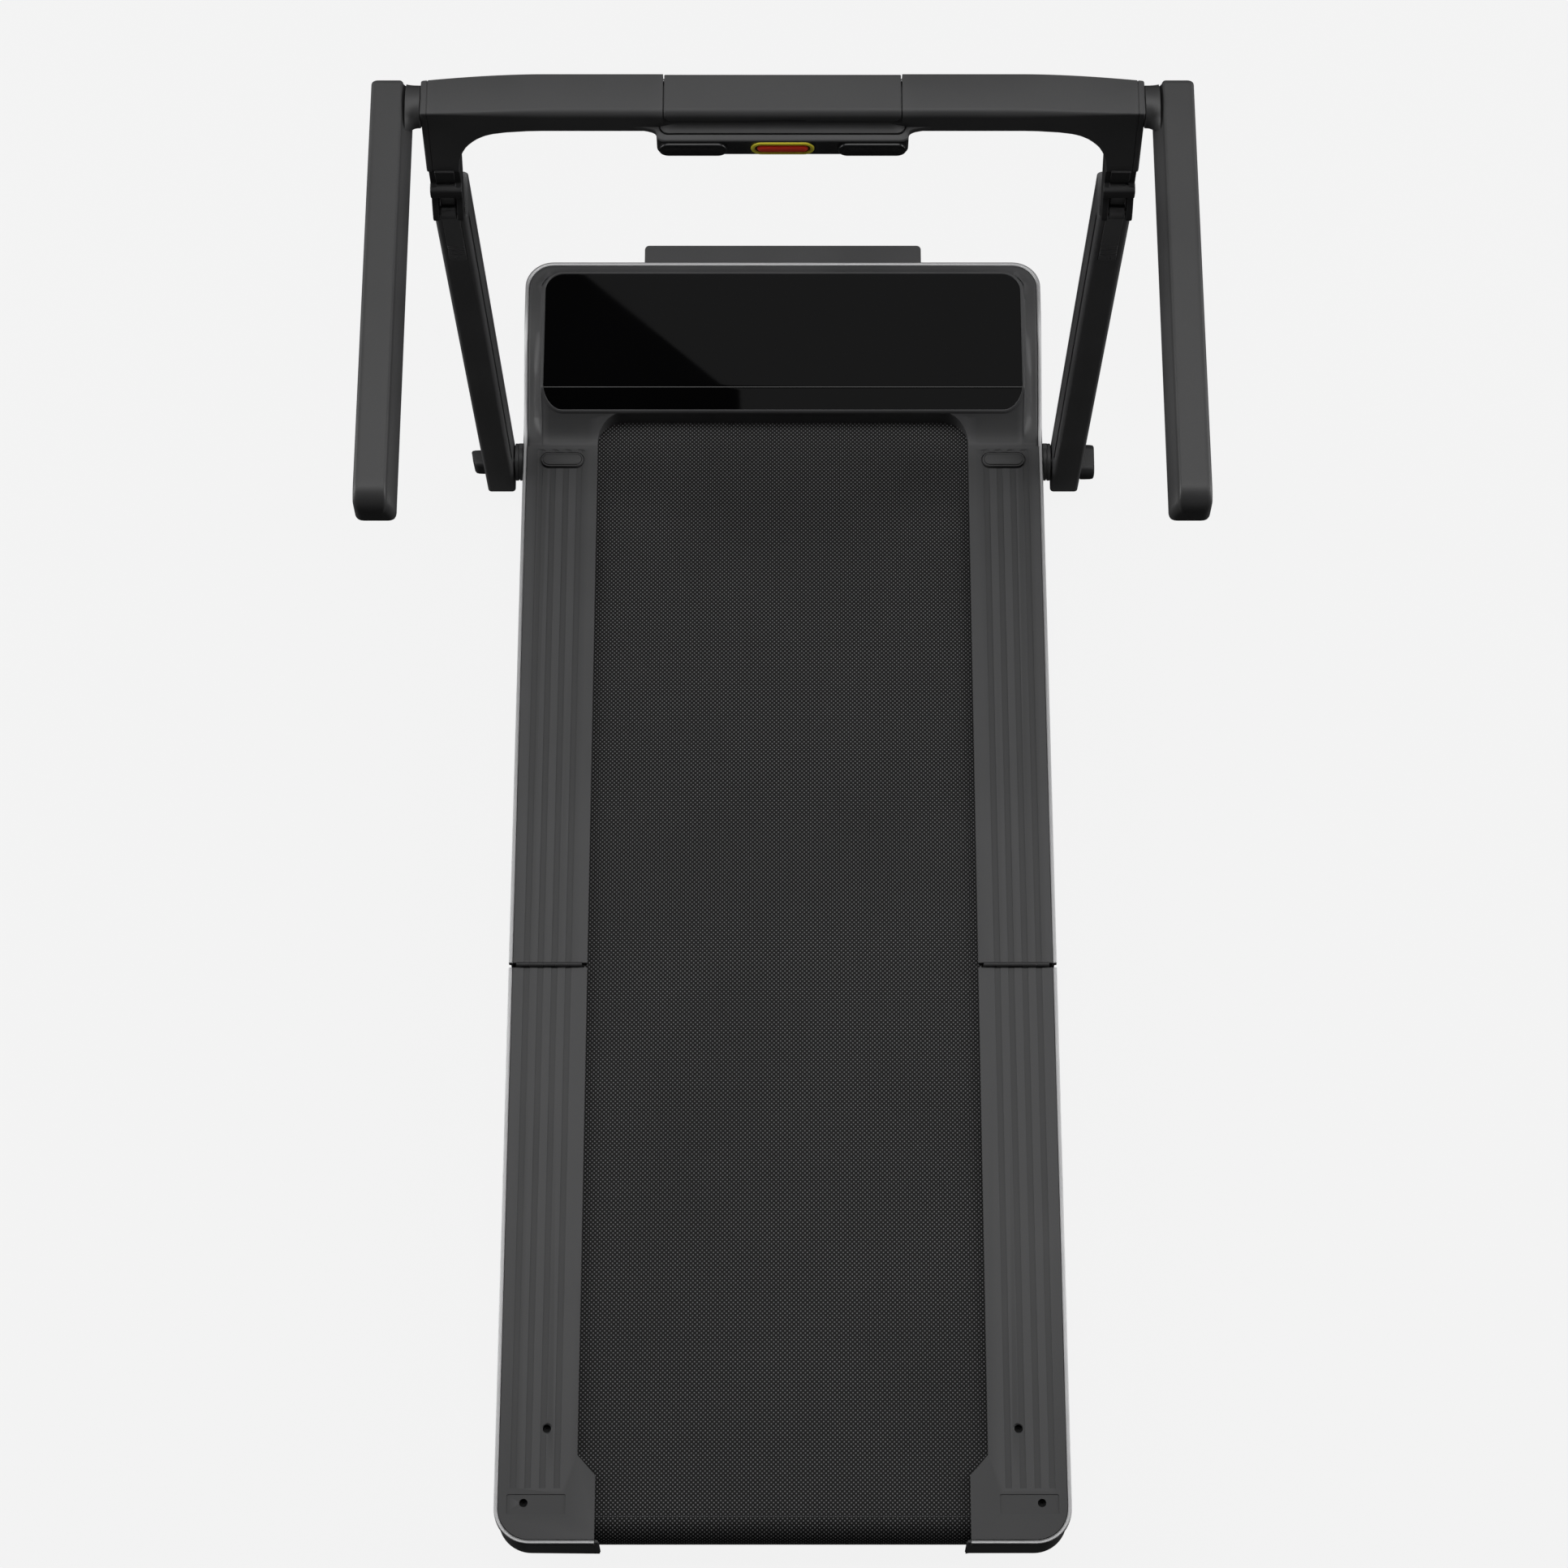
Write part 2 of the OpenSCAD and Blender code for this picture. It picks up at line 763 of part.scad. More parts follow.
module rear_roller_axle() {
    color(steel) at_fold() rod_x(-252, 252, -rear_roller_y, roller_z, axle_r);
}

module tension_bolts() {
    color(steel) at_fold() both_sides() {
        rod_y(-610, -599.2, tube_x0 + tube_w / 2, roller_z, 3);
        rod_y(-614, -606.2, tube_x0 + tube_w / 2, roller_z, 5);
    }
}

// One half of the running belt: a band round a roller with its two runs ending at the fold.
module belt_half(end_y) {
    roller_c = [end_y, roller_z];
    along_x(-belt_w / 2, belt_w / 2) difference() {
        union() {
            translate(roller_c) circle(belt_out_r);
            translate([0, roller_z - belt_out_r]) square([end_y, 2 * belt_out_r]);
        }
        translate(roller_c) circle(belt_in_r);
        translate([-1, roller_z - belt_in_r]) square([end_y + 1, 2 * belt_in_r]);
        translate([-50, 0]) square([50.3, 100]);
    }
}

module running_belt_front() {
    color([0.15, 0.15, 0.16]) at_fold() belt_half(front_roller_y);
}

module running_belt_rear() {
    color([0.15, 0.15, 0.16]) at_fold() rotate([0, 0, 180]) belt_half(rear_roller_y);
}

// ---- fold hinge ----

// A hinge leaf in front of the fold, with the knuckles named by their places.
module leaf(places) {
    difference() {
        union() {
            box([leaf_x0, 0.15, 24], [leaf_x0 + 5 * knuckle_len + 0.8, half_gap, fold_pin_z - 3.2]);
            for (i = places) {
                x = leaf_x0 + i * (knuckle_len + 0.2);
                box([x, 0.15, fold_pin_z - 4], [x + knuckle_len, half_gap, fold_pin_z]);
                rod_x(x, x + knuckle_len, 0, fold_pin_z, knuckle_r);
            }
        }
        rod_x(leaf_x0 - 1, leaf_x0 + 80, 0, fold_pin_z, pin_r + fit);
    }
}

module front_hinge_leaves() {
    color(black) at_fold() both_sides() leaf([0, 2, 4]);
}

module rear_hinge_leaves() {
    color(black) at_fold() both_sides() mirror([0, 1, 0]) leaf([1, 3]);
}

module fold_hinge_pins() {
    color(steel) at_fold() both_sides() rod_x(leaf_x0, leaf_x0 + 5 * knuckle_len + 0.8, 0, fold_pin_z, pin_r);
}

// ---- uprights ----

// The uprights' own axes: Y across their depth and Z along them, from the lower pivot.
module in_upright() {
    translate([0, pivot_y, pivot_z]) rotate([lean, 0, 0]) children();
}

module pivot_brackets() {
    color(black) at_fold() both_sides() difference() {
        union() {
            rod_x(tube_x0 + tube_w, body_half + 2, pivot_y, pivot_z, boss_r);
            rod_x(body_half + 0.4, upright_x - upright_w / 2 - 1.2, pivot_y, pivot_z, flange_r);
        }
        rod_x(tube_x0, 400, pivot_y, pivot_z, shaft_r + fit);
        rod_x(tube_x0 + tube_w - 1, tube_x0 + tube_w + 5, pivot_y, pivot_z, 11);
    }
}

module pivot_shafts() {
    outer = upright_x + upright_w / 2;
    color(steel) at_fold() both_sides() {
        rod_x(tube_x0 + tube_w + 0.5, tube_x0 + tube_w + 4.8, pivot_y, pivot_z, 10);
        rod_x(tube_x0 + tube_w + 4, outer - 0.2, pivot_y, pivot_z, shaft_r);
        rod_x(outer - 1, outer + 12, pivot_y, pivot_z, shaft_end_r);
    }
}

// An oval clamping knob, its long side at an angle to the vertical.
module pivot_knob(turn) {
    outer = upright_x + upright_w / 2;
    at_fold() translate([0, pivot_y, pivot_z]) rotate([turn, 0, 0]) difference() {
        union() {
            along_x(outer + 0.4, outer + 11) rounded([-13, -18.5], [13, 18.5], 12.5);
            along_x(outer + 10, outer + 16) rounded([-10.5, -16], [10.5, 16], 10);
        }
        rod_x(outer - 1, outer + 13, 0, 0, shaft_end_r + fit);
    }
}

module right_pivot_knob() {
    color(black) pivot_knob(-70);
}

module left_pivot_knob() {
    color(black) mirror([1, 0, 0]) pivot_knob(12);
}

slider_u0 = 619;
slider_u1 = 711;
slider_travel = 10;
slider_depth = 5;
wide_top = 712;

module upright() {
    x0 = upright_x - upright_w / 2;
    x1 = upright_x + upright_w / 2;
    half_d = upright_d / 2;
    at_fold() in_upright() difference() {
        union() {
            translate([0, 0, -32]) linear_extrude(wide_top + 32) rounded([x0, -half_d], [x1, half_d], 4);
            box([x0 + cheek_t + 1.4, -half_d, wide_top - 1], [x1 - cheek_t - 1.4, half_d - 6, hinge_u + 34]);
            rod_x(x0 + cheek_t + 1.4, x1 - cheek_t - 1.4, hinge_v, hinge_u, barrel_r);
        }
        // hollow tube between the solid ends
        box([x0 + 3, -half_d + 3, 34], [x1 - 3, half_d - 3, 580]);
        // groove along the inner face
        box([x0 - 1, -16, 46], [x0 + 1.6, -11, 690]);
        // pocket of the latch slider
        box([upright_x - 9, -half_d - 1, slider_u0 - slider_travel - 1],
            [upright_x + 9, -half_d + slider_depth + 0.3, wide_top]);
        rod_x(x0 - 1, x1 + 1, 0, 0, shaft_r + fit);
        rod_x(x0, x1, hinge_v, hinge_u, console_pin_r + fit);
    }
}

module left_upright() {
    color(black) mirror([1, 0, 0]) upright();
}

module right_upright() {
    color(black) upright();
}

module console_hinge_pins() {
    color(steel) at_fold() both_sides() in_upright()
        rod_x(upright_x - upright_w / 2 + 1, upright_x + upright_w / 2 - 1, hinge_v, hinge_u, console_pin_r);
}

module latch_slider() {
    half_d = upright_d / 2;
    at_fold() in_upright() {
        box([upright_x - 8.7, -half_d, slider_u0], [upright_x + 8.7, -half_d + slider_depth, slider_u1]);
        for (i = [0:4]) {
            u = slider_u0 + 8 + i * 6;
            box([upright_x - 8, -half_d - 0.8, u], [upright_x + 8, -half_d + 1, u + 3]);
        }
    }
}

module left_latch_slider() {
    color(dark) mirror([1, 0, 0]) latch_slider();
}

module right_latch_slider() {
    color(dark) latch_slider();
}

// ---- console ----

// Front view of the crossbar with its two legs.
module bar_front_view() {
    r = 48;
    translate([-bar_half, bar_bottom]) square([2 * bar_half, bar_h]);
    both_flat() {
        translate([leg_in, leg_bottom]) square([bar_half - leg_in, bar_top - leg_bottom - 1]);
        difference() {
            translate([leg_in - r, bar_bottom - r]) square([r + 1, r + 1]);
            translate([leg_in - r, bar_bottom - r]) circle(r);
        }
    }
}

// Side view of the crossbar's section, and of the legs whose rear face slopes down and back.
module bar_side_view() {
    rounded([bar_rear_y, bar_bottom], [bar_front_y, bar_top], 5);
    polygon([[leg_rear_y, leg_bottom], [leg_front_y, leg_bottom],
             [leg_front_y, bar_bottom + 8], [bar_rear_y, bar_bottom + 8]]);
}

// Plan of the crossbar: the front edge curves back towards the ends.
module bar_plan() {
    polygon(concat(
        [[-bar_half, leg_rear_y - 1], [bar_half, leg_rear_y - 1]],
        [for (i = [0:12]) let (x = bar_half - i * bar_half / 6)
            [x, bar_front_y + 0.1 - 8 * pow(max(0, abs(x) - 200) / (bar_half - 200), 2)]]
    ));
}

// Side view of the console body that stands out towards the user.
module bump_side_view() {
    polygon([[bar_rear_y + 8, bar_top - 13], [bar_rear_y, bar_top - 13], [fascia_y + 4, fascia_z1 + 4],
             [fascia_y, fascia_z1], [fascia_y, fascia_z0], [bar_rear_y + 14, fascia_z0],
             [bar_rear_y + 24, bar_bottom + 4], [bar_rear_y + 8, bar_bottom + 4]]);
}

// One cheek plate of the fork round the upright's barrel, in the upright's own axes.
module cheek_side_view() {
    back = -upright_d / 2 - 3.4;
    difference() {
        union() {
            translate([hinge_v, hinge_u]) circle(cheek_r);
            polygon([[hinge_v - 8.5, hinge_u + 5], [back, hinge_u + 16], [back, hinge_u + 62],
                     [14, hinge_u + 62], [14, hinge_u + 42], [hinge_v + cheek_r - 0.5, hinge_u - 3]]);
        }
        translate([hinge_v, hinge_u]) circle(console_pin_r + fit);
    }
}

module crossbar_shell() {
    x0 = upright_x - upright_w / 2 + 1;
    x1 = upright_x + upright_w / 2 - 1;
    color(rail_grey) at_fold() difference() {
        union() {
            intersection() {
                along_y(leg_rear_y - 1, bar_front_y + 1) bar_front_view();
                along_x(-bar_half, bar_half) bar_side_view();
                translate([0, 0, leg_bottom - 1]) linear_extrude(200) bar_plan();
            }
            along_x(-bump_half, bump_half) bump_side_view();
            both_sides() {
                in_upright() along_x(x0, x0 + cheek_t) cheek_side_view();
                in_upright() along_x(x1 - cheek_t, x1) cheek_side_view();
            }
            // lips that join the cheeks behind the upright
            both_sides() in_upright()
                box([x0, -upright_d / 2 - 3.4, hinge_u + 16], [x1, -upright_d / 2 - 0.6, hinge_u + 25]);
        }
        // channel of the inner beam
        box([-296, bar_rear_y + 9.7, bar_bottom + 4.7], [296, bar_front_y - 12.7, bar_top - 9.7]);
        // room behind the fascia
        box([-bump_half + 4, fascia_y - 1, fascia_z0 + 2], [bump_half - 4, fascia_y + 1, fascia_z1 - 2]);
        box([-bump_half + 4, fascia_y, fascia_z0 + 2], [bump_half - 4, bar_rear_y - 1, fascia_z1 - 2]);
        // seat of the flap, and the tray under it
        seat = flap_half + 0.5;
        box([-seat, bar_rear_y - 1, bar_top - 13.4], [seat, bar_rear_y + 3.4, bar_top + 1]);
        box([-seat, bar_rear_y - 1, bar_top - 3.4], [seat, bar_front_y - 8.6, bar_top + 1]);
        box([-seat, bar_front_y - 11, bar_top - 10.4], [seat, bar_front_y + 1, bar_top + 1]);
        // bores of the flap's pin
        rod_x(-flap_half - 12, flap_half + 12, flap_pin_y, flap_pin_z, 1.5 + fit);
        // bores of the armrests' spigots
        both_sides() rod_x(303, bar_half + 1, neck_y, neck_z, spigot_r + fit);
    }
}

module crossbar_beam() {
    color(steel) at_fold() difference() {
        box([-295.5, bar_rear_y + 10, bar_bottom + 5], [295.5, bar_front_y - 13, bar_top - 10]);
        box([-296, bar_rear_y + 12, bar_bottom + 7], [296, bar_front_y - 15, bar_top - 12]);
    }
}

pad_x = 85;
pad_half_w = 31;
pad_half_h = 9;
fascia_mid = (fascia_z0 + fascia_z1) / 2;

module stadium(x, half_w, half_h) {
    rounded([x - half_w, fascia_mid - half_h], [x + half_w, fascia_mid + half_h], half_h - 0.01);
}

module console_fascia() {
    color(black) at_fold() along_y(fascia_y + 0.2, fascia_y + 2.8) difference() {
        translate([-bump_half + 4.2, fascia_z0 + 2.2])
            square([2 * bump_half - 8.4, fascia_z1 - fascia_z0 - 4.4]);
        stadium(pad_x, pad_half_w + 0.5, pad_half_h + 0.5);
        stadium(-pad_x, pad_half_w + 0.5, pad_half_h + 0.5);
        stadium(0, 29.6, 9.6);
    }
}

module console_board() {
    color(board_green) at_fold() {
        box([-108, fascia_y + 8, fascia_z0 + 4], [108, fascia_y + 9.6, fascia_z1 - 4]);
        for (x = [-pad_x - 15, -pad_x + 15, pad_x - 15, pad_x + 15]) {
            box([x - 3, fascia_y + 6, fascia_mid - 3], [x + 3, fascia_y + 8, fascia_mid + 3]);
        }
        for (x = [-60, 60]) {
            rod_y(fascia_y + 9, bar_rear_y - 1, x, fascia_mid, 3);
        }
    }
}

module control_pad() {
    at_fold() {
        along_y(fascia_y - 3.5, fascia_y + 2.4) stadium(pad_x, pad_half_w, pad_half_h);
        for (x = [pad_x - 15, pad_x + 15]) {
            box([x - 2, fascia_y + 2, fascia_mid - 2], [x + 2, fascia_y + 3.6, fascia_mid + 2]);
        }
    }
}

module right_control_pad() {
    color(black) control_pad();
}

module left_control_pad() {
    color(black) mirror([1, 0, 0]) control_pad();
}

module key_socket() {
    color([0.75, 0.70, 0.10]) at_fold() difference() {
        along_y(fascia_y - 1.5, fascia_y + 5) stadium(0, 29.4, 9.4);
        along_y(fascia_y - 2, fascia_y + 4) stadium(0, 24.9, 5.9);
    }
}

module safety_key() {
    color([0.80, 0.12, 0.10]) at_fold() {
        along_y(fascia_y - 2.6, fascia_y + 3.8) stadium(0, 24.5, 5.5);
    }
}

module tablet_flap() {
    color(rail_grey) at_fold() difference() {
        union() {
            box([-flap_half, bar_rear_y, bar_top - 3], [flap_half, bar_front_y - 5, bar_top]);
            box([-flap_half, bar_rear_y, bar_top - 13], [flap_half, bar_rear_y + 3, bar_top]);
            rod_x(-flap_half, flap_half, flap_pin_y, flap_pin_z, 5);
        }
        box([-22, bar_rear_y - 1, bar_top - 14], [22, bar_rear_y + 4, bar_top - 11]);
        rod_x(-flap_half - 1, flap_half + 1, flap_pin_y, flap_pin_z, 1.5 + fit);
    }
}

module flap_hinge_pin() {
    color(steel) at_fold() rod_x(-flap_half - 11.5, flap_half + 11.5, flap_pin_y, flap_pin_z, 1.5);
}

// Cross section of the right armrest, flat on top with a long bevel on its inner side.
module arm_section() {
    x0 = arm_in;
    x1 = arm_in + arm_w;
    z1 = arm_top;
    z0 = arm_top - arm_h;
    polygon([[x0 + 10, z1], [x1 - 4, z1], [x1 - 1, z1 - 2], [x1, z1 - 6], [x1, z0 + 5], [x1 - 2, z0 + 1],
             [x1 - 5, z0], [x0 + 5, z0], [x0 + 1, z0 + 2], [x0, z0 + 6], [x0, z1 - 22], [x0 + 6, z1 - 6]]);
}

// Side view of an armrest: a large roll at the top of its rear end, small ones elsewhere.
module arm_side_view() {
    y0 = arm_front_y - arm_len;
    z0 = arm_top - arm_h;
    r = arm_edge_r;
    R = arm_roll_r;
    translate([y0 + R, z0 + r]) square([arm_len - R - r, arm_h - r]);
    translate([y0 + r, z0]) square([arm_len - 2 * r, arm_h - R]);
    translate([y0, z0 + r]) square([arm_len, arm_h - r - R]);
    translate([arm_front_y - R, z0 + r]) square([R, arm_h - 2 * r]);
    translate([y0 + R, arm_top - R]) circle(R);
    for (c = [[y0 + r, z0 + r], [arm_front_y - r, z0 + r], [arm_front_y - r, arm_top - r]]) {
        translate(c) circle(r);
    }
}

module armrest() {
    at_fold() {
        intersection() {
            along_y(arm_front_y - arm_len, arm_front_y) arm_section();
            along_x(arm_in, arm_in + arm_w) arm_side_view();
            linear_extrude(1000)
                rounded([arm_in, arm_front_y - arm_len], [arm_in + arm_w, arm_front_y], 7);
        }
        rod_x(bar_half + 0.3, arm_in + 12, neck_y, neck_z, neck_r);
        rod_x(304, bar_half + 2, neck_y, neck_z, spigot_r);
    }
}

module left_armrest() {
    color(dark) mirror([1, 0, 0]) armrest();
}

module right_armrest() {
    color(dark) armrest();
}

front_frame();
front_deck_board();
deck_cushions();
left_front_rail();
right_front_rail();
front_trim();
hood_shell();
hood_glass();
display_board();
front_bottom_cover();
motor_housing();
motor_rotor();
drive_belt();
motor_controller();
power_inlet();
power_switch();
switch_housing();
front_stand_block();
front_feet();
rail_buffer_pads();
wheel_axle();
transport_wheels();
front_roller_axle();
front_roller();
pivot_brackets();
running_belt_front();
front_hinge_leaves();
fold_hinge_pins();
rear_frame();
rear_deck_board();
left_rear_rail();
right_rear_rail();
rear_trim();
rear_bottom_cover();
rear_roller_axle();
rear_roller();
tension_bolts();
rear_feet();
running_belt_rear();
rear_hinge_leaves();
left_upright();
right_upright();
pivot_shafts();
console_hinge_pins();
left_latch_slider();
right_latch_slider();
left_pivot_knob();
right_pivot_knob();
crossbar_shell();
crossbar_beam();
console_fascia();
console_board();
tablet_flap();
flap_hinge_pin();
left_control_pad();
right_control_pad();
key_socket();
safety_key();
left_armrest();
right_armrest();
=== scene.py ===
import json
import math

import bmesh
import bpy
from mathutils import Matrix, Vector


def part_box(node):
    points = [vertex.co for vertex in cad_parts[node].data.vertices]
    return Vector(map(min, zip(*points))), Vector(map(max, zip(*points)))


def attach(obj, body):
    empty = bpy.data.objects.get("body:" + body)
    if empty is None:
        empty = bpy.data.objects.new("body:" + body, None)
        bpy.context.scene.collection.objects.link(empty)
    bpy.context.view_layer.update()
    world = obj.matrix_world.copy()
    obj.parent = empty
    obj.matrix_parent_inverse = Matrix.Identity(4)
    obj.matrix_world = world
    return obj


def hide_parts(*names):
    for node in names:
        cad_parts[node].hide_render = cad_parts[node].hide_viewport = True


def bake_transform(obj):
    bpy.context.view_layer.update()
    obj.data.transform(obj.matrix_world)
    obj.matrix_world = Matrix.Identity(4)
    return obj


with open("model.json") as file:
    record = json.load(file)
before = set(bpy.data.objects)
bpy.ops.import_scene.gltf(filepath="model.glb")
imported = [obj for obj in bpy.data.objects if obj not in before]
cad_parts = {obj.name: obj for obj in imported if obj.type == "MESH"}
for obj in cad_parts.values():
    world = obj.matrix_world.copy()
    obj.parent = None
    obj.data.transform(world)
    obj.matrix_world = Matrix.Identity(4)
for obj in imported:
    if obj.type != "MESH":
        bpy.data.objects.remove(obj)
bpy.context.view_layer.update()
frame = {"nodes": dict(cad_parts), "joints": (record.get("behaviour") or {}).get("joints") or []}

MM = 0.001

# The deck's parts are laid out from the fold line, so that line's place comes from its joint.
JOINT = {j["name"]: j for j in frame["joints"]}
FOLD_Y = JOINT["deck_fold"]["pos_m"][1] / MM
PIVOT = Vector(JOINT["upright_fold"]["pos_m"]) / MM
LEAN = math.radians(6.3)

# camera solved from the photograph, in mm from the fold line
CAMERA = (1.3, -1513, 4135)
CAMERA_PITCH = 22.96
FOCAL_PX = 5000
PHOTO_PX = 1932
SENSOR = 36.0
FLOOR_HALF = 12.0


def low(node):
    """Lowest corner of a CAD node in mm, with Y counted from the fold line."""
    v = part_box(node)[0] / MM
    return Vector((v.x, v.y - FOLD_Y, v.z))


def high(node):
    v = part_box(node)[1] / MM
    return Vector((v.x, v.y - FOLD_Y, v.z))


def smooth(t):
    t = min(1.0, max(0.0, t))
    return t * t * (3 - 2 * t)


def table(pts, x):
    """Straight-line lookup in a list of (x, y) pairs."""
    if x <= pts[0][0]:
        return pts[0][1]
    for (x0, y0), (x1, y1) in zip(pts, pts[1:]):
        if x <= x1:
            return y0 + (y1 - y0) * (x - x0) / (x1 - x0)
    return pts[-1][1]


def span(a, b, n):
    return [a + (b - a) * i / n for i in range(n + 1)]


# ---------------------------------------------------------------- mesh helpers

def solid(name, verts, faces, material, sharp):
    """A mesh object from points in mm, with Y counted from the fold line."""
    me = bpy.data.meshes.new(name)
    me.from_pydata([(x * MM, (y + FOLD_Y) * MM, z * MM) for x, y, z in verts], [], faces)
    bm = bmesh.new()
    bm.from_mesh(me)
    bmesh.ops.remove_doubles(bm, verts=bm.verts, dist=0.00002)
    bmesh.ops.recalc_face_normals(bm, faces=bm.faces)
    bm.to_mesh(me)
    bm.free()
    me.shade_smooth()
    me.set_sharp_from_angle(angle=math.radians(sharp))
    ob = bpy.data.objects.new(name, me)
    bpy.context.scene.collection.objects.link(ob)
    ob.data.materials.append(material)
    return ob


# the record's material slot for each look, named here because Blender renames materials that meet
SLOT = {"rail": "rail_plastic", "console": "console_plastic", "arm": "arm_plastic", "silver": "silver_trim",
        "glass": "glossy_glass", "black": "black_plastic", "gloss": "fascia_gloss", "paint": "upright_paint",
        "steel": "steel", "dark": "steel", "pad": "rubber", "red": "key_red", "yellow": "socket_yellow"}


def make(name, verts, faces, body, look, sharp=35, bevel=0.0, segments=2, replaces=(), slot=None):
    """A piece that rides on a body; a slot is worked out from its look unless another is given, but it is not
    put on the piece.
    """
    ob = solid(name, verts, faces, MAT[look], sharp)
    if bevel:
        m = ob.modifiers.new("edge", "BEVEL")
        m.width = bevel * MM
        m.segments = segments
        m.limit_method = "ANGLE"
        m.angle_limit = math.radians(sharp)
        m.harden_normals = True
    slot = slot or SLOT[look]
    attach(ob, body)
    if replaces:
        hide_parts(*replaces)
    return ob


def rings_to_mesh(rings, cap=True, closed=True):
    """Faces between rings of equal length, with the first and last ring capped."""
    verts = [p for r in rings for p in r]
    n = len(rings[0])
    faces = []
    for j in range(len(rings) - 1):
        for i in range(n if closed else n - 1):
            k = (i + 1) % n
            faces.append((j * n + i, j * n + k, (j + 1) * n + k, (j + 1) * n + i))
    if cap:
        faces.append(tuple(range(n)))
        faces.append(tuple(range(len(verts) - n, len(verts))))
    return verts, faces


def prism(outline, place, a, b):
    """A flat outline of (u, v) swept from a to b; place maps (u, v, w) to a point."""
    return rings_to_mesh([[place(u, v, w) for u, v in outline] for w in (a, b)])


def flat(u, v, w):
    return (u, v, w)


def facing_x(u, v, w):
    return (w, u, v)


def facing_y(u, v, w):
    return (u, w, v)


def join(*parts):
    verts, faces = [], []
    for v, f in parts:
        n = len(verts)
        verts += v
        faces += [tuple(i + n for i in face) for face in f]
    return verts, faces


def mirrored(part):
    v, f = part
    return [(-x, y, z) for x, y, z in v], [tuple(reversed(face)) for face in f]


def arc(cx, cy, r, a0, a1, n):
    return [(cx + r * math.cos(math.radians(a)), cy + r * math.sin(math.radians(a))) for a in span(a0, a1, n)]


def rounded(x0, y0, x1, y1, r, n=8):
    return (arc(x1 - r, y1 - r, r, 0, 90, n) + arc(x0 + r, y1 - r, r, 90, 180, n)
            + arc(x0 + r, y0 + r, r, 180, 270, n) + arc(x1 - r, y0 + r, r, 270, 360, n))


def box_part(x0, y0, z0, x1, y1, z1):
    return prism([(x0, y0), (x1, y0), (x1, y1), (x0, y1)], flat, z0, z1)


def cut(ob, *parts):
    """Takes solids out of a piece, and applies it before the piece's bevel."""
    for part in parts:
        tool = solid("cutter", *part, ob.data.materials[0], sharp=30)
        m = ob.modifiers.new("cut", "BOOLEAN")
        m.object = tool
        m.operation = "DIFFERENCE"
        m.solver = "EXACT"
        while ob.modifiers.find(m.name) > 0:
            ob.modifiers.move(ob.modifiers.find(m.name), ob.modifiers.find(m.name) - 1)
        deps = bpy.context.evaluated_depsgraph_get()
        edges = [x for x in ob.modifiers if x.type != "BOOLEAN"]
        for x in edges:
            x.show_viewport = False
        deps.update()
        mesh = bpy.data.meshes.new_from_object(ob.evaluated_get(bpy.context.evaluated_depsgraph_get()))
        for x in edges:
            x.show_viewport = True
        ob.modifiers.remove(m)
        old = ob.data
        ob.data = mesh
        mesh.name = old.name
        bpy.data.meshes.remove(old)
        bpy.data.objects.remove(tool)
    ob.data.shade_smooth()
    ob.data.set_sharp_from_angle(angle=math.radians(35))
    return ob


# ---------------------------------------------------------------- materials

class Shader:
    """A material's node tree, with short ways to add its nodes and join them."""

    def __init__(self, name):
        self.material = bpy.data.materials.new(name)
        self.material.use_nodes = True
        self.tree = self.material.node_tree
        self.bsdf = self.tree.nodes["Principled BSDF"]

    def add(self, kind):
        return self.tree.nodes.new("ShaderNode" + kind)

    def fill(self, node, inputs):
        """Sets each input to a value, or joins it to another node's output."""
        for key, value in inputs.items():
            if isinstance(value, bpy.types.NodeSocket):
                self.tree.links.new(value, node.inputs[key])
            else:
                node.inputs[key].default_value = value
        return node

    def place(self):
        return self.add("TexCoord").outputs["Object"]

    def stretched(self, scale):
        return self.fill(self.add("Mapping"), {"Vector": self.place(), "Scale": scale}).outputs["Vector"]

    def noise(self, where, scale, **inputs):
        return self.fill(self.add("TexNoise"), {"Vector": where, "Scale": scale, **inputs}).outputs["Fac"]

    def remap(self, value, low_end, high_end, start=0.3, stop=0.7):
        """Turns the range from start to stop into the range from low_end to high_end."""
        inputs = {"Value": value, "From Min": start, "From Max": stop, "To Min": low_end, "To Max": high_end}
        return self.fill(self.add("MapRange"), inputs).outputs["Result"]

    def math(self, operation, *values):
        node = self.add("Math")
        node.operation = operation
        return self.fill(node, dict(enumerate(values))).outputs[0]

    def scaled(self, color, factor):
        node = self.add("VectorMath")
        node.operation = "SCALE"
        return self.fill(node, {0: color, "Scale": factor}).outputs["Vector"]

    def bump(self, height, strength, distance):
        inputs = {"Height": height, "Strength": strength, "Distance": distance}
        return self.fill(self.add("Bump"), inputs).outputs["Normal"]

    def finish(self, **inputs):
        """Fills the shader's own sockets, named with _ for a space, and hands the material over."""
        self.fill(self.bsdf, {key.replace("_", " "): value for key, value in inputs.items()})
        return self.material


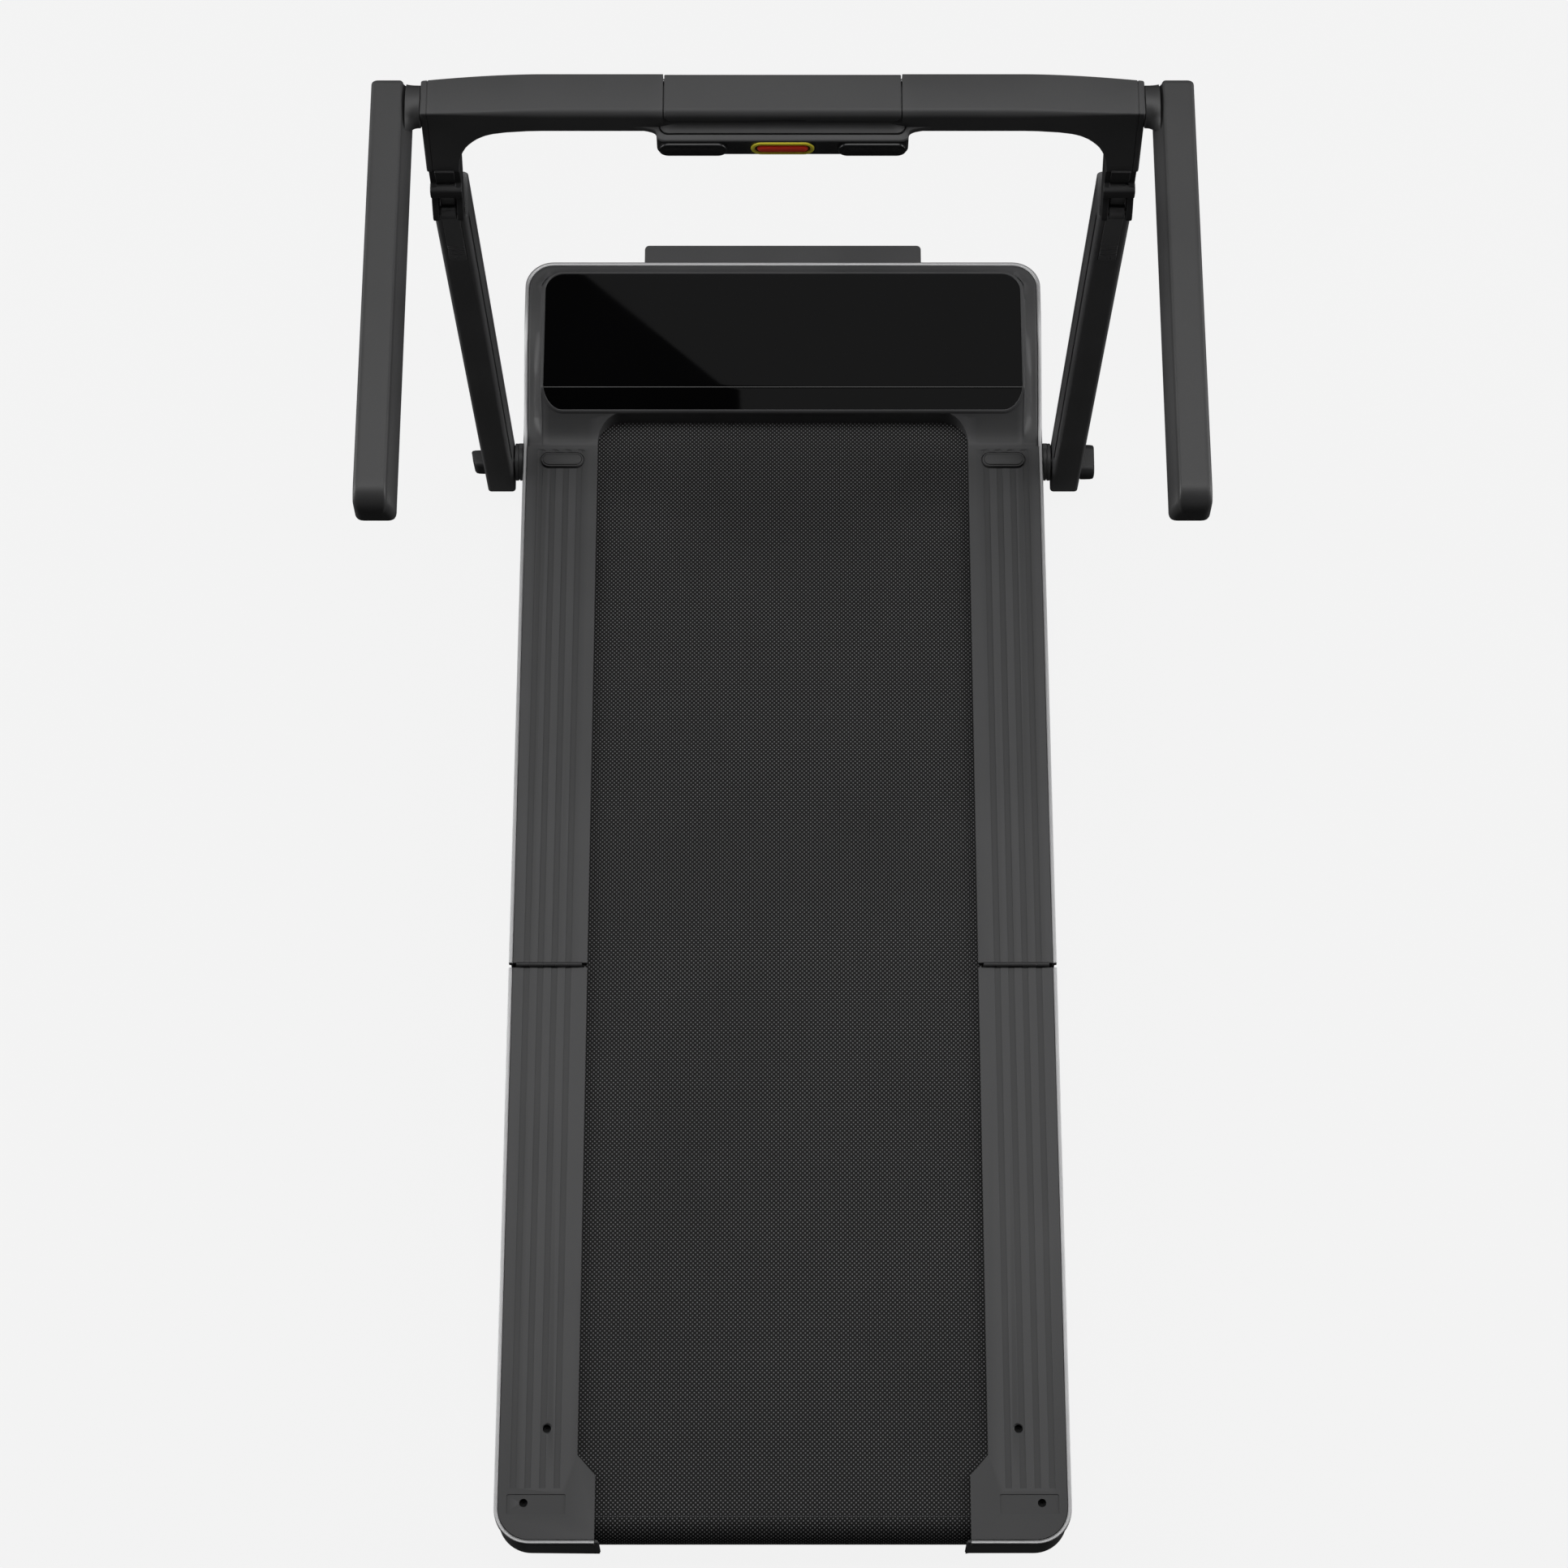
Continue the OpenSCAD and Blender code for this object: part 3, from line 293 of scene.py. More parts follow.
def moulded(name, color, rough, grain=0.0006, depth=0.00004, spread=0.10, rough_spread=0.06, edge=0.0,
            metallic=0.0):
    """A moulded or painted surface: fine grain in the bump, and slight changes of tone and gloss; with edge,
    a painted highlight lightens the colour on convex edges.
    """
    s = Shader(name)
    place = s.place()
    fine = s.noise(place, 1.0 / grain, Detail=3.0)
    wide = s.noise(place, 9.0, Detail=4.0)
    speck = spread * 0.6
    tone = s.math("MULTIPLY", s.remap(wide, 1.0 - spread, 1.0 + spread),
                  s.remap(fine, 1.0 - speck, 1.0 + speck))
    base = s.scaled(color, tone)
    if edge:
        # painted highlight: convex edges, found by their pointiness, get a lighter colour
        painted_edge_highlight = s.remap(s.add("NewGeometry").outputs["Pointiness"], 1.0, 1.0 + edge, 0.52, 0.60)
        base = s.scaled(base, painted_edge_highlight)
    return s.finish(Base_Color=base, Roughness=s.remap(wide, rough - rough_spread, rough + rough_spread),
                    Normal=s.bump(fine, 0.6, depth), Metallic=metallic)


def brushed(name, color, rough, along, anisotropic=0.4):
    """Metal with fine lines: noise stretched along one axis in tone, gloss and bump."""
    s = Shader(name)
    lines = s.noise(s.stretched(along), 30.0, Detail=6.0)
    return s.finish(Base_Color=s.scaled(color, s.remap(lines, 0.86, 1.08, 0.0, 1.0)),
                    Roughness=s.remap(lines, rough - 0.08, rough + 0.10),
                    Normal=s.bump(lines, 0.3, 0.00002), Metallic=1.0, Anisotropic=anisotropic)


def belt_rubber():
    """Rubber running belt: rows of raised dots on a diagonal, read from the belt's own map in metres."""
    s = Shader("belt_rubber")
    uv = s.add("UVMap")
    uv.uv_map = "belt"
    across = s.fill(s.add("SeparateXYZ"), {"Vector": uv.outputs["UV"]})
    pitch = 0.00465
    turns = 2 * math.pi / pitch
    waves = [s.math("COSINE", s.math("MULTIPLY", across.outputs[axis], turns)) for axis in ("X", "Y")]
    dots_range = s.add("MapRange")
    dots_range.interpolation_type = "SMOOTHSTEP"
    product = s.math("MULTIPLY", *waves)
    dots = s.fill(dots_range, {"Value": product, "From Min": 0.25, "From Max": 0.95}).outputs["Result"]
    place = s.place()
    wide = s.noise(place, 6.0, Detail=5.0)
    fine = s.noise(place, 900.0)
    mix = s.add("Mix")
    mix.data_type = "RGBA"
    factor, valley, peak = 0, 6, 7
    s.fill(mix, {factor: dots, valley: (0.008, 0.008, 0.0082, 1), peak: (0.27, 0.27, 0.275, 1)})
    return s.finish(Base_Color=s.scaled(mix.outputs[2], s.remap(wide, 0.90, 1.10)),
                    Roughness=s.remap(fine, 0.62, 0.78, 0.0, 1.0),
                    Normal=s.bump(dots, 0.7, 0.0004), Specular_IOR_Level=0.3)


def deck_wood():
    s = Shader("deck_wood")
    grain = s.noise(s.stretched((14, 0.8, 60)), 3.0, Detail=8.0, Distortion=0.6)
    ramp = s.add("ValToRGB")
    ramp.color_ramp.elements[0].color = (0.14, 0.085, 0.045, 1)
    ramp.color_ramp.elements[1].color = (0.36, 0.25, 0.15, 1)
    s.fill(ramp, {"Fac": grain})
    return s.finish(Base_Color=ramp.outputs["Color"], Roughness=0.6)


MAT = {
    "rail": moulded("rail_plastic", (0.062, 0.062, 0.0635), 0.52, depth=0.00005, edge=0.35),
    "console": moulded("console_plastic", (0.070, 0.070, 0.0715), 0.50, edge=0.25),
    "arm": moulded("arm_plastic", (0.064, 0.064, 0.065), 0.46, grain=0.0009, edge=0.2),
    "silver": moulded("silver_trim", (0.54, 0.54, 0.545), 0.5, grain=0.0008, depth=0.00001, spread=0.05,
                      metallic=1.0),
    "glass": moulded("glossy_glass", (0.002, 0.002, 0.0022), 0.02, spread=0.05, rough_spread=0.006,
                     depth=0.0000004),
    "black": moulded("black_plastic", (0.030, 0.030, 0.031), 0.48, edge=0.5),
    "gloss": moulded("fascia_gloss", (0.014, 0.014, 0.0145), 0.22, depth=0.000008, edge=0.6),
    "paint": moulded("upright_paint", (0.092, 0.092, 0.094), 0.42, grain=0.0012, depth=0.00003, edge=0.6),
    "frame": moulded("frame_paint", (0.035, 0.035, 0.037), 0.5, grain=0.0012),
    "steel": brushed("steel", (0.50, 0.50, 0.51), 0.32, (20, 1, 1)),
    "alu": brushed("controller_metal", (0.62, 0.62, 0.63), 0.4, (1, 1, 1), 0.0),
    "board": moulded("circuit_board", (0.02, 0.12, 0.05), 0.4, grain=0.003, spread=0.3),
    "rubber": moulded("rubber", (0.016, 0.016, 0.0165), 0.72, grain=0.0010, depth=0.00008),
    "pad": moulded("pad_rubber", (0.082, 0.082, 0.083), 0.62, grain=0.0008, depth=0.00006, edge=0.3),
    "red": moulded("key_red", (0.95, 0.05, 0.02), 0.40, grain=0.0010, edge=0.3),
    "yellow": moulded("socket_yellow", (0.86, 0.76, 0.04), 0.42, grain=0.0010, edge=0.2),
    # painted shade: near-black colour for the steel rail screws, as the shade at the bottom of their holes
    "dark": moulded("painted_recess_shade", (0.006, 0.006, 0.006), 0.7),
    "belt": belt_rubber(),
    "wood": deck_wood(),
}

# ---------------------------------------------------------------- side rails

RAIL_TOP = high("left_front_rail").z
RAIL_IN = -high("left_front_rail").x
BODY = high("right_front_rail").x
RAIL_OUT = BODY - 4.8
SEAM_Y = high("right_front_rail").y + 2.5
GAP = low("right_front_rail").y
REAR = -low("right_rear_rail").y
SKIRT_Z = low("right_front_rail").z
TRIM_LOW = low("rear_trim").z
CAP_X = low("right_rear_rail").x
GROOVES = [229.1 + 14.8 * i for i in range(4)]
SKIRT_IN = 2.2
PAD_X0, PAD_X1 = 225.0, high("rail_buffer_pads").x
PAD_Y0, PAD_Y1 = low("rail_buffer_pads").y + 4.2, high("rail_buffer_pads").y + 4.2
REAR_R = 37.0


def groove(x, y0, y1, front_round):
    if front_round:
        plan = [(x - 3.3, y0), (x + 3.3, y0)] + arc(x, y1 - 3.3, 3.3, 0, 180, 8)
    else:
        plan = [(x - 3.3, y0), (x + 3.3, y0), (x + 3.3, y1), (x - 3.3, y1)]
    return rings_to_mesh([[(x + (u - x) * k, v, z) for u, v in plan] for k,
                          z in ((0.95, RAIL_TOP - 0.55), (1.0, RAIL_TOP - 0.25), (1.0, RAIL_TOP + 0.4))])


def skirt_ring(plan, z0, z1):
    """A thin wall that follows an open plan line."""
    outer_top = [(x, y, z1) for x, y in plan]
    outer_low = [(x, y, z0) for x, y in plan]
    inner_top = [(x * 0.9925, y * 0.997, z1) for x, y in plan]
    inner_low = [(x * 0.9925, y * 0.997, z0) for x, y in plan]
    n = len(plan)
    verts = outer_top + outer_low + inner_low + inner_top
    faces = []
    for k in range(4):
        a, b = k * n, ((k + 1) % 4) * n
        for i in range(n - 1):
            faces.append((a + i, a + i + 1, b + i + 1, b + i))
    faces.append((0, n, 2 * n, 3 * n))
    faces.append((n - 1, 4 * n - 1, 3 * n - 1, 2 * n - 1))
    return verts, faces


def front_rail(side):
    plan = [(RAIL_IN, GAP), (RAIL_OUT, GAP), (RAIL_OUT, SEAM_Y - 0.6), (RAIL_IN, SEAM_Y - 0.6)]
    top = prism(plan, flat, RAIL_TOP - 5.0, RAIL_TOP)
    cutters = [groove(x, GAP - 2, SEAM_Y - 4.5, True) for x in GROOVES]
    cutters.append(prism(rounded(PAD_X0 - 1.7, PAD_Y0 - 1.7, PAD_X1 + 1.7, PAD_Y1 + 1.7,
                                 (PAD_Y1 - PAD_Y0) / 2 + 1.69, 10), flat, RAIL_TOP - 2.6, RAIL_TOP + 1))
    for x in span(PAD_X1 - 1.5, PAD_X1 - 45.6, 3):
        mark = arc(x, PAD_Y1 + 1.1, 3.7, 20, 160, 8) + arc(x, PAD_Y1 + 1.1, 2.8, 160, 20, 8)
        cutters.append(prism(mark, flat, RAIL_TOP - 0.9, RAIL_TOP + 1))
    wall = skirt_ring([(BODY - SKIRT_IN, GAP), (BODY - SKIRT_IN, SEAM_Y)], SKIRT_Z, TRIM_LOW - 0.2)
    name = side + "_front_rail"
    flip = mirrored if side == "left" else (lambda p: p)
    ob = make(name + "_top", *flip(top), "front_base", "rail", bevel=1.3, segments=3,
              replaces=(name,))
    cut(ob, *[flip(c) for c in cutters])
    make(name + "_skirt", *flip(wall), "front_base", "rail", bevel=0.5)


def rear_corner(inset):
    return arc(BODY - REAR_R, -REAR + REAR_R, REAR_R - inset, 0, -90, 14)


def rear_rail(side):
    inset = BODY - RAIL_OUT
    plan = ([(RAIL_IN, -GAP), (RAIL_OUT, -GAP)] + rear_corner(inset)
            + [(CAP_X, -REAR + inset), (CAP_X, -552), (RAIL_IN, -531)])
    top = prism(plan, flat, RAIL_TOP - 5.0, RAIL_TOP)
    holes = [prism(arc(240.6, -503.7, 4.3, 0, 345, 23), flat, 55, 75),
             prism(arc(262.7, -580.4, 4.3, 0, 345, 23), flat, 55, 75),
             prism(rounded(220, -592, 280, -571.7, 2, 4), flat, RAIL_TOP - 0.8, 75)]
    dimples = [rings_to_mesh([[(240.6 + r * math.cos(a), -503.7 + r * math.sin(a), z)
                               for a in [math.tau * i / 24 for i in range(24)]]
                              for r, z in ((4.3, RAIL_TOP - 1.3), (6.2, RAIL_TOP + 0.4))])]
    wall = skirt_ring([(BODY - SKIRT_IN, -GAP)] + rear_corner(SKIRT_IN) + [(CAP_X - 3.5, -REAR + SKIRT_IN)],
                      SKIRT_Z, TRIM_LOW - 0.2)
    end = box_part(CAP_X - 3.5, -REAR + SKIRT_IN, SKIRT_Z, CAP_X, -REAR + SKIRT_IN + 3, RAIL_TOP - 4)
    name = side + "_rear_rail"
    flip = mirrored if side == "left" else (lambda p: p)
    ob = make(name + "_top", *flip(top), "rear_deck", "rail", bevel=1.3, segments=3,
              replaces=(name,))
    cut(ob, *[flip(c) for c in [groove(x, -565.5, -GAP + 2, False) for x in GROOVES] + dimples + holes])
    make(name + "_skirt", *flip(join(wall, end)), "rear_deck", "rail", bevel=0.5)
    screws = []
    for x, y in ((240.6, -503.7), (262.7, -580.4)):
        head = rings_to_mesh([[(x + r * math.cos(a), y + r * math.sin(a), z)
                               for a in [math.tau * i / 20 for i in range(20)]]
                              for r, z in ((5.6, RAIL_TOP - 9), (5.6, RAIL_TOP - 7.2), (4.8, RAIL_TOP - 6.6),
                                           (2.2, RAIL_TOP - 6.6), (2.2, RAIL_TOP - 8.4))])
        screws.append(head)
    # painted shade: the steel screws take the near-black look of the holes' shade
    make(side + "_rail_screws", *flip(join(*screws)), "rear_deck", "dark")


for side in ("left", "right"):
    front_rail(side)
    rear_rail(side)


def strip(path_in, path_out, z_low, z_top, r=0.9):
    """A trim strip between two plan lines, its outer top edge rounded; z may be a function of the point."""
    def z_at(z, p):
        return z(p) if callable(z) else z
    rings = []
    for a, b in zip(path_in, path_out):
        zt, zl = z_at(z_top, b), z_at(z_low, b)
        d = Vector((b[0] - a[0], b[1] - a[1]))
        w = d.length
        u = d / w
        prof = [(0, zl), (0, zt - 0.9), (0.3, zt - 0.6), (1.9, zt - 0.1), (2.4, zt)]
        prof += [(w - r + r * math.sin(t), zt - r + r * math.cos(t)) for t in span(0, math.pi / 2, 4)]
        prof += [(w, zl + 0.4), (w - 0.4, zl)]
        rings.append([(a[0] + u.x * s, a[1] + u.y * s, z) for s, z in prof])
    return rings_to_mesh(rings)


TRIM_OUT = BODY - 0.2
rear_in = [(RAIL_OUT + 0.3, -GAP)] + rear_corner(BODY - RAIL_OUT - 0.3) + [(CAP_X, -REAR
                                                                            + BODY - RAIL_OUT - 0.3)]
rear_out = [(TRIM_OUT, -GAP)] + rear_corner(0.2) + [(CAP_X, -REAR + 0.2)]
part = strip(rear_in, rear_out, TRIM_LOW, RAIL_TOP - 0.1)
make("rear_trim_strip", *join(part, mirrored(part)), "rear_deck", "silver", sharp=50,
     replaces=("rear_trim",))

# ---------------------------------------------------------------- hood

HOOD_FRONT = high("hood_shell").y
GLASS_LOW = low("hood_glass")
GLASS_HIGH = high("hood_glass")
CREASE_Y, CREASE_Z = 676.0, 110.0
TOP_Z = 111.0
CORNER_R = 32.0
LIP = 3.0
HOOD_REAR = SEAM_Y + 0.35
GLASS_X, GLASS_Y0, GLASS_Y1, GLASS_R = GLASS_HIGH.x - 2.8, GLASS_LOW.y + 3.0, GLASS_HIGH.y - 0.9, 21.0
EDGE_IN = 4.5
SIDE_X = BODY - EDGE_IN
FRONT_Y = HOOD_FRONT - EDGE_IN


def side_z(y):
    return RAIL_TOP + (TOP_Z - 6.0 - RAIL_TOP) * smooth((y - SEAM_Y) / 155)


def mid_z(y):
    if y < GLASS_LOW.y:
        return RAIL_TOP + 19 * ((y - SEAM_Y) / (GLASS_LOW.y - SEAM_Y)) ** 2
    rear = CREASE_Z + (CREASE_Z - RAIL_TOP - 19) / (CREASE_Y - GLASS_LOW.y) * (y - CREASE_Y)
    front = CREASE_Z + (TOP_Z - CREASE_Z) * min(1, max(0, (y - CREASE_Y) / (GLASS_HIGH.y - CREASE_Y)))
    k = 0.35
    return -k * math.log(math.exp(-rear / k) + math.exp(-front / k))


def glass_gap(x, y):
    """How far a point lies outside the glass panel's frame, whose sides run on to the rear."""
    r = GLASS_R + LIP
    ax, ay = abs(x) - GLASS_X - LIP + r, y - GLASS_Y1 - LIP + r
    if ax > 0 and ay > 0:
        return math.hypot(ax, ay) - r
    return max(ax, ay) - r


def hood_z(x, y, d):
    """Height of the hood at a point that lies d inside its outline."""
    t = 1 - (1 - min(1.0, max(0.0, glass_gap(x, y)) / 12.0)) ** 3
    z = mid_z(y) * (1 - t) + side_z(y) * t
    if y > GLASS_Y0 + 18:
        z -= 2.0 * smooth((3.9 - glass_gap(x, y)) / 0.5)
    r = 3.0
    if d < r:
        z -= r - math.sqrt(max(0, r * r - (r - d) ** 2))
    return z


side_ys = [HOOD_REAR, 624, 627, 630, 633, 636, 639, 642, 645, 648, 651, 653.5, 655.5, 658, 661, 665, 669,
           672, 674, 676, 678, 680, 683, 690, 700, 712, 725, 740, 757, 775, 792, FRONT_Y - CORNER_R
           + EDGE_IN]
RIM = SIDE_X - GLASS_X
depths = [0, 0.25, 0.8, 1.6, 2.6, 4, 6, 8, RIM - 6, RIM - 4.8, RIM - 4.1, RIM - 3.8, RIM - 3.6, RIM - 3.3,
          RIM - 2.6, RIM - 1.5, 17, 20]
arc_n = 14


def hood_outline(d):
    """Right half of the hood's outline, d inside, from the seam round the corner to the middle."""
    pts = [(SIDE_X - d, y) for y in side_ys]
    c = CORNER_R - EDGE_IN
    cx, cy = SIDE_X - c, FRONT_Y - c
    pts += [(cx + (c - d) * math.cos(a), cy + (c - d) * math.sin(a)) for a in span(0, math.pi / 2, arc_n)[1:]]
    pts += [(x, FRONT_Y - d) for x in span(cx, 0, 12)[1:]]
    return pts


band = []
for d in depths:
    pts = hood_outline(d)
    band.append([(x, y, hood_z(x, y, d)) for x, y in pts]
                + [(-x, y, hood_z(x, y, d)) for x, y in reversed(pts[:-1])])
outer_low = [(x, y, SKIRT_Z + 1) for x, y, z in band[0]]
verts, faces = rings_to_mesh([outer_low] + band, cap=False, closed=False)
# the field inside the band, in rows that share the band's side points
inner_x = SIDE_X - depths[-1]
rows_y = side_ys + [FRONT_Y - 24.5, FRONT_Y - depths[-1]]
cols = [-inner_x] + span(-262, 262, 40) + [inner_x]
n0 = len(verts)
for y in rows_y:
    verts += [(x, y, hood_z(x, y, 20)) for x in cols]
nc = len(cols)
for j in range(len(rows_y) - 1):
    for i in range(nc - 1):
        a = n0 + j * nc + i
        faces.append((a, a + 1, a + nc + 1, a + nc))
# underside and rear wall close it into a solid
n1 = len(verts)
faces.append(tuple(range(len(outer_low))))
rear_edge_x = [SIDE_X - d for d in depths]
rear_top = [(x, HOOD_REAR, hood_z(x, HOOD_REAR, d)) for x, d in zip(rear_edge_x, depths)]
rear_top += [(x, HOOD_REAR, hood_z(x, HOOD_REAR, 20)) for x in reversed(cols[1:-1])]
rear_top += [(-x, y, z) for x, y, z in reversed([(x, HOOD_REAR, hood_z(x, HOOD_REAR, d))
                                                 for x, d in zip(rear_edge_x, depths)])]
verts += rear_top + [(-SIDE_X, HOOD_REAR, SKIRT_Z + 1), (SIDE_X, HOOD_REAR, SKIRT_Z + 1)]
faces.append(tuple(range(n1, n1 + len(rear_top) + 2)))
hood = make("hood_body", verts, faces, "front_base", "rail", sharp=50, bevel=0.8, segments=2,
            replaces=("hood_shell",))
opening = prism(rounded(-RAIL_IN, 540, RAIL_IN, 656, 27, 12), flat, RAIL_TOP - 6.5, 130)
under = box_part(-RAIL_IN - 3, SEAM_Y - 2, 10, RAIL_IN + 3, 705, RAIL_TOP - 6.2)
cut(hood, opening, under)


def front_outline(inset):
    """Right half of the front end's plan from the seam to the middle."""
    r = CORNER_R - inset
    half, end = BODY - inset, HOOD_FRONT - inset
    pts = [(half, y) for y in side_ys[:-1]] + [(half, end - r)]
    pts += [(half - r + r * math.cos(a), end - r + r * math.sin(a)) for a in span(0, math.pi / 2, arc_n)[1:]]
    pts += [(x, end) for x in span(half - r, 0, 12)[1:]]
    return pts


def whole(pts):
    return pts + [(-x, y) for x, y in reversed(pts[:-1])]


rings = []
for inset, drop in ((SKIRT_IN, 0), (SKIRT_IN, None), (SKIRT_IN + 2, None), (SKIRT_IN + 2, 0)):
    ring = []
    for x, y in whole(front_outline(inset)):
        ring.append((x, y, SKIRT_Z if drop is None else side_z(y) - 8.0))
    rings.append(ring)
verts, faces = rings_to_mesh(rings + [rings[0]], cap=False, closed=False)
n = len(rings[0])
faces += [(0, n, 2 * n, 3 * n), (n - 1, 2 * n - 1, 3 * n - 1, 4 * n - 1)]
make("hood_skirt", verts, faces, "front_base", "rail", bevel=0.5)

# trim strip: along both rails, up the hood's sides and round its front
rail_in = [(RAIL_OUT + 0.3, GAP), (RAIL_OUT + 0.3, SEAM_Y - 0.3)]
rail_out = [(TRIM_OUT, GAP), (TRIM_OUT, SEAM_Y - 0.3)]
rail_strip = strip(rail_in, rail_out, TRIM_LOW, RAIL_TOP - 0.1)
hood_strip = strip(whole(front_outline(EDGE_IN + 0.05)), whole(front_outline(0.2)),
                   lambda p: side_z(p[1]) - 7.8, lambda p: side_z(p[1]) - 0.1, 0.8)
make("front_trim_strip", *join(rail_strip, mirrored(rail_strip), hood_strip), "front_base", "silver",
     sharp=50, replaces=("front_trim",))


def glass_rows(grow, lift):
    """Rows across the glass panel's outline, which has rounded corners; grow makes it bigger all round."""
    y0, y1 = GLASS_Y0 - grow, GLASS_Y1 + grow
    half, r = GLASS_X + grow, GLASS_R + grow
    near = [r * (1 - math.cos(a)) for a in span(0, math.pi / 2, 10)]
    ys = sorted(set([round(y0 + q, 4) for q in near] + [round(y1 - q, 4) for q in near]
                    + [CREASE_Y + q for q in (-6, -4, -2.5, -1.5, -0.8, -0.3, 0, 0.3, 0.8, 1.5, 2.5, 4, 6,
                                              10)] + span(CREASE_Y + 16, y1 - r - 4, 9)))
    rows = []
    for y in ys:
        e = max(0.0, r - min(y - y0, y1 - y))
        hx = half - r + math.sqrt(max(0.0, r * r - e * e))
        rows.append([(x, y, mid_z(y) + lift) for x in span(-hx, hx, 30)])
    return rows


def patch_solid(rows, thick):
    """A closed sheet from rows of points, thickened downwards."""
    m, n = len(rows), len(rows[0])
    verts = [p for r in rows for p in r] + [(x, y, z - thick) for r in rows for x, y, z in r]
    k = m * n
    faces = []
    for j in range(m - 1):
        for i in range(n - 1):
            a = j * n + i
            faces.append((a, a + 1, a + n + 1, a + n))
            faces.append((k + a, k + a + n, k + a + n + 1, k + a + 1))
    rim = list(range(n)) + [j * n + n - 1 for j in range(1, m)] + [(m - 1) * n + i
                                                                   for i in range(n - 2, -1, -1)]
    rim += [j * n for j in range(m - 2, 0, -1)]
    for a, b in zip(rim, rim[1:] + rim[:1]):
        faces.append((a, b, k + b, k + a))
    return verts, faces


def frame_ring(grow, lift):
    """One closed line round the glass panel, lifted off the hood."""
    half, y0, y1 = GLASS_X + grow, GLASS_Y0 - grow, GLASS_Y1 + grow
    return [(x, y, mid_z(y) + lift) for x, y in rounded(-half, y0, half, y1, GLASS_R + grow, 24)]


rings = [frame_ring(g, h) for g, h in ((LIP, -2.0), (LIP, 0.9), (2.7, 1.5), (2.1, 1.9), (1.3, 1.9),
                                       (0.6, 1.5), (0.2, 0.9), (0.2, -2.0))]
make("hood_bezel", *rings_to_mesh(rings + [rings[0]], cap=False), "front_base", "rail", sharp=50)
make("hood_glass_panel", *patch_solid(glass_rows(0.1, 0.55), 1.4), "front_base", "glass", sharp=40,
     bevel=0.3, segments=2, replaces=("hood_glass",))

# block in front of the hood, with a smaller step at each end
sb_low, sb_high = low("front_stand_block"), high("front_stand_block")
block = prism(rounded(sb_low.x + 1.2, HOOD_FRONT - 4, sb_high.x - 1.2, sb_high.y, 5, 6), flat, sb_low.z,
              sb_high.z)
block_foot = prism(rounded(sb_low.x, HOOD_FRONT - 4, sb_high.x, HOOD_FRONT + 4, 2, 4), flat, sb_low.z,
                   sb_high.z - 3)
make("stand_block", *join(block, block_foot), "front_base", "rail", bevel=1.6, segments=3,
     replaces=("front_stand_block",))

# buffer pads
def stadium_stack(x0, x1, y0, y1, steps):
    rings = []
    for inset, z in steps:
        r = (y1 - y0) / 2 - inset
        rings.append([(x, y, z) for x, y in rounded(x0 + inset, y0 + inset, x1 - inset, y1 - inset,
                                                    r - 0.01, 10)])
    return rings_to_mesh(rings)


pad = stadium_stack(PAD_X0, PAD_X1, PAD_Y0, PAD_Y1,
                    [(0, RAIL_TOP - 2.7), (0, RAIL_TOP + 1.8), (0.4, RAIL_TOP + 2.3), (1.0, RAIL_TOP + 2.4),
                     (1.4, RAIL_TOP + 2.3), (1.5, RAIL_TOP + 1.2), (2.0, RAIL_TOP + 1.2),
                     (2.1, RAIL_TOP + 2.7), (2.8, RAIL_TOP + 3.0)])
make("buffer_pads", *join(pad, mirrored(pad)), "front_base", "pad", sharp=40,
     replaces=("rail_buffer_pads",))

# ---------------------------------------------------------------- running belt

fb, rb = low("running_belt_front"), low("running_belt_rear")
belt_half = -fb.x
roll_z = (low("front_roller").z + high("front_roller").z) / 2
roll_r = (high("running_belt_front").z - low("running_belt_front").z) / 2
fy = high("running_belt_front").y - roll_r
ry = rb.y + roll_r
BELT_T = 2.0


def belt_line(r):
    """Side view of the belt loop at radius r, with its path length at each point."""
    ys = sorted(set([round(v, 3) for v in span(ry, fy, 70) + span(-32, 32, 32)]))
    pts = [(y, roll_z + r) for y in ys]
    pts += [(fy + r * math.sin(a), roll_z + r * math.cos(a)) for a in span(0, math.pi, 24)[1:-1]]
    pts += [(y, roll_z - r) for y in reversed(ys)]
    pts += [(ry - r * math.sin(a), roll_z - r * math.cos(a)) for a in span(0, math.pi, 24)[1:-1]]
    return pts


outer_line, inner_line = belt_line(roll_r), belt_line(roll_r - BELT_T)
xs = [-belt_half, -belt_half + 0.5] + span(-belt_half + 4, belt_half - 4, 8) + [belt_half - 0.5, belt_half]
n, k = len(outer_line), len(xs)
verts = [(x, y, z) for y, z in outer_line for x in xs] + [(x, y, z) for y, z in inner_line for x in xs]
faces = []
for j in range(n):
    a, b = j * k, ((j + 1) % n) * k
    for i in range(k - 1):
        faces.append((a + i, a + i + 1, b + i + 1, b + i))
        faces.append((n * k + a + i, n * k + b + i, n * k + b + i + 1, n * k + a + i + 1))
    faces.append((a, b, n * k + b, n * k + a))
    faces.append((a + k - 1, n * k + a + k - 1, n * k + b + k - 1, b + k - 1))
me = bpy.data.meshes.new("running_belt")
me.from_pydata([(x * MM, (y + FOLD_Y) * MM, z * MM) for x, y, z in verts], [], faces)
run = [0.0]
loop_pts = outer_line + [outer_line[0]]
for p, q in zip(loop_pts, loop_pts[1:]):
    run.append(run[-1] + math.dist(p, q))
uvs = me.uv_layers.new(name="belt")
for poly in me.polygons:
    js = [(v % (n * k)) // k for v in poly.vertices]
    wrap = max(js) - min(js) > n / 2
    for li, v, j in zip(poly.loop_indices, poly.vertices, js):
        s = run[n] if (wrap and j == 0) else run[j]
        uvs.data[li].uv = (verts[v][0] * MM, s * MM)
me.shade_smooth()
me.set_sharp_from_angle(angle=math.radians(40))
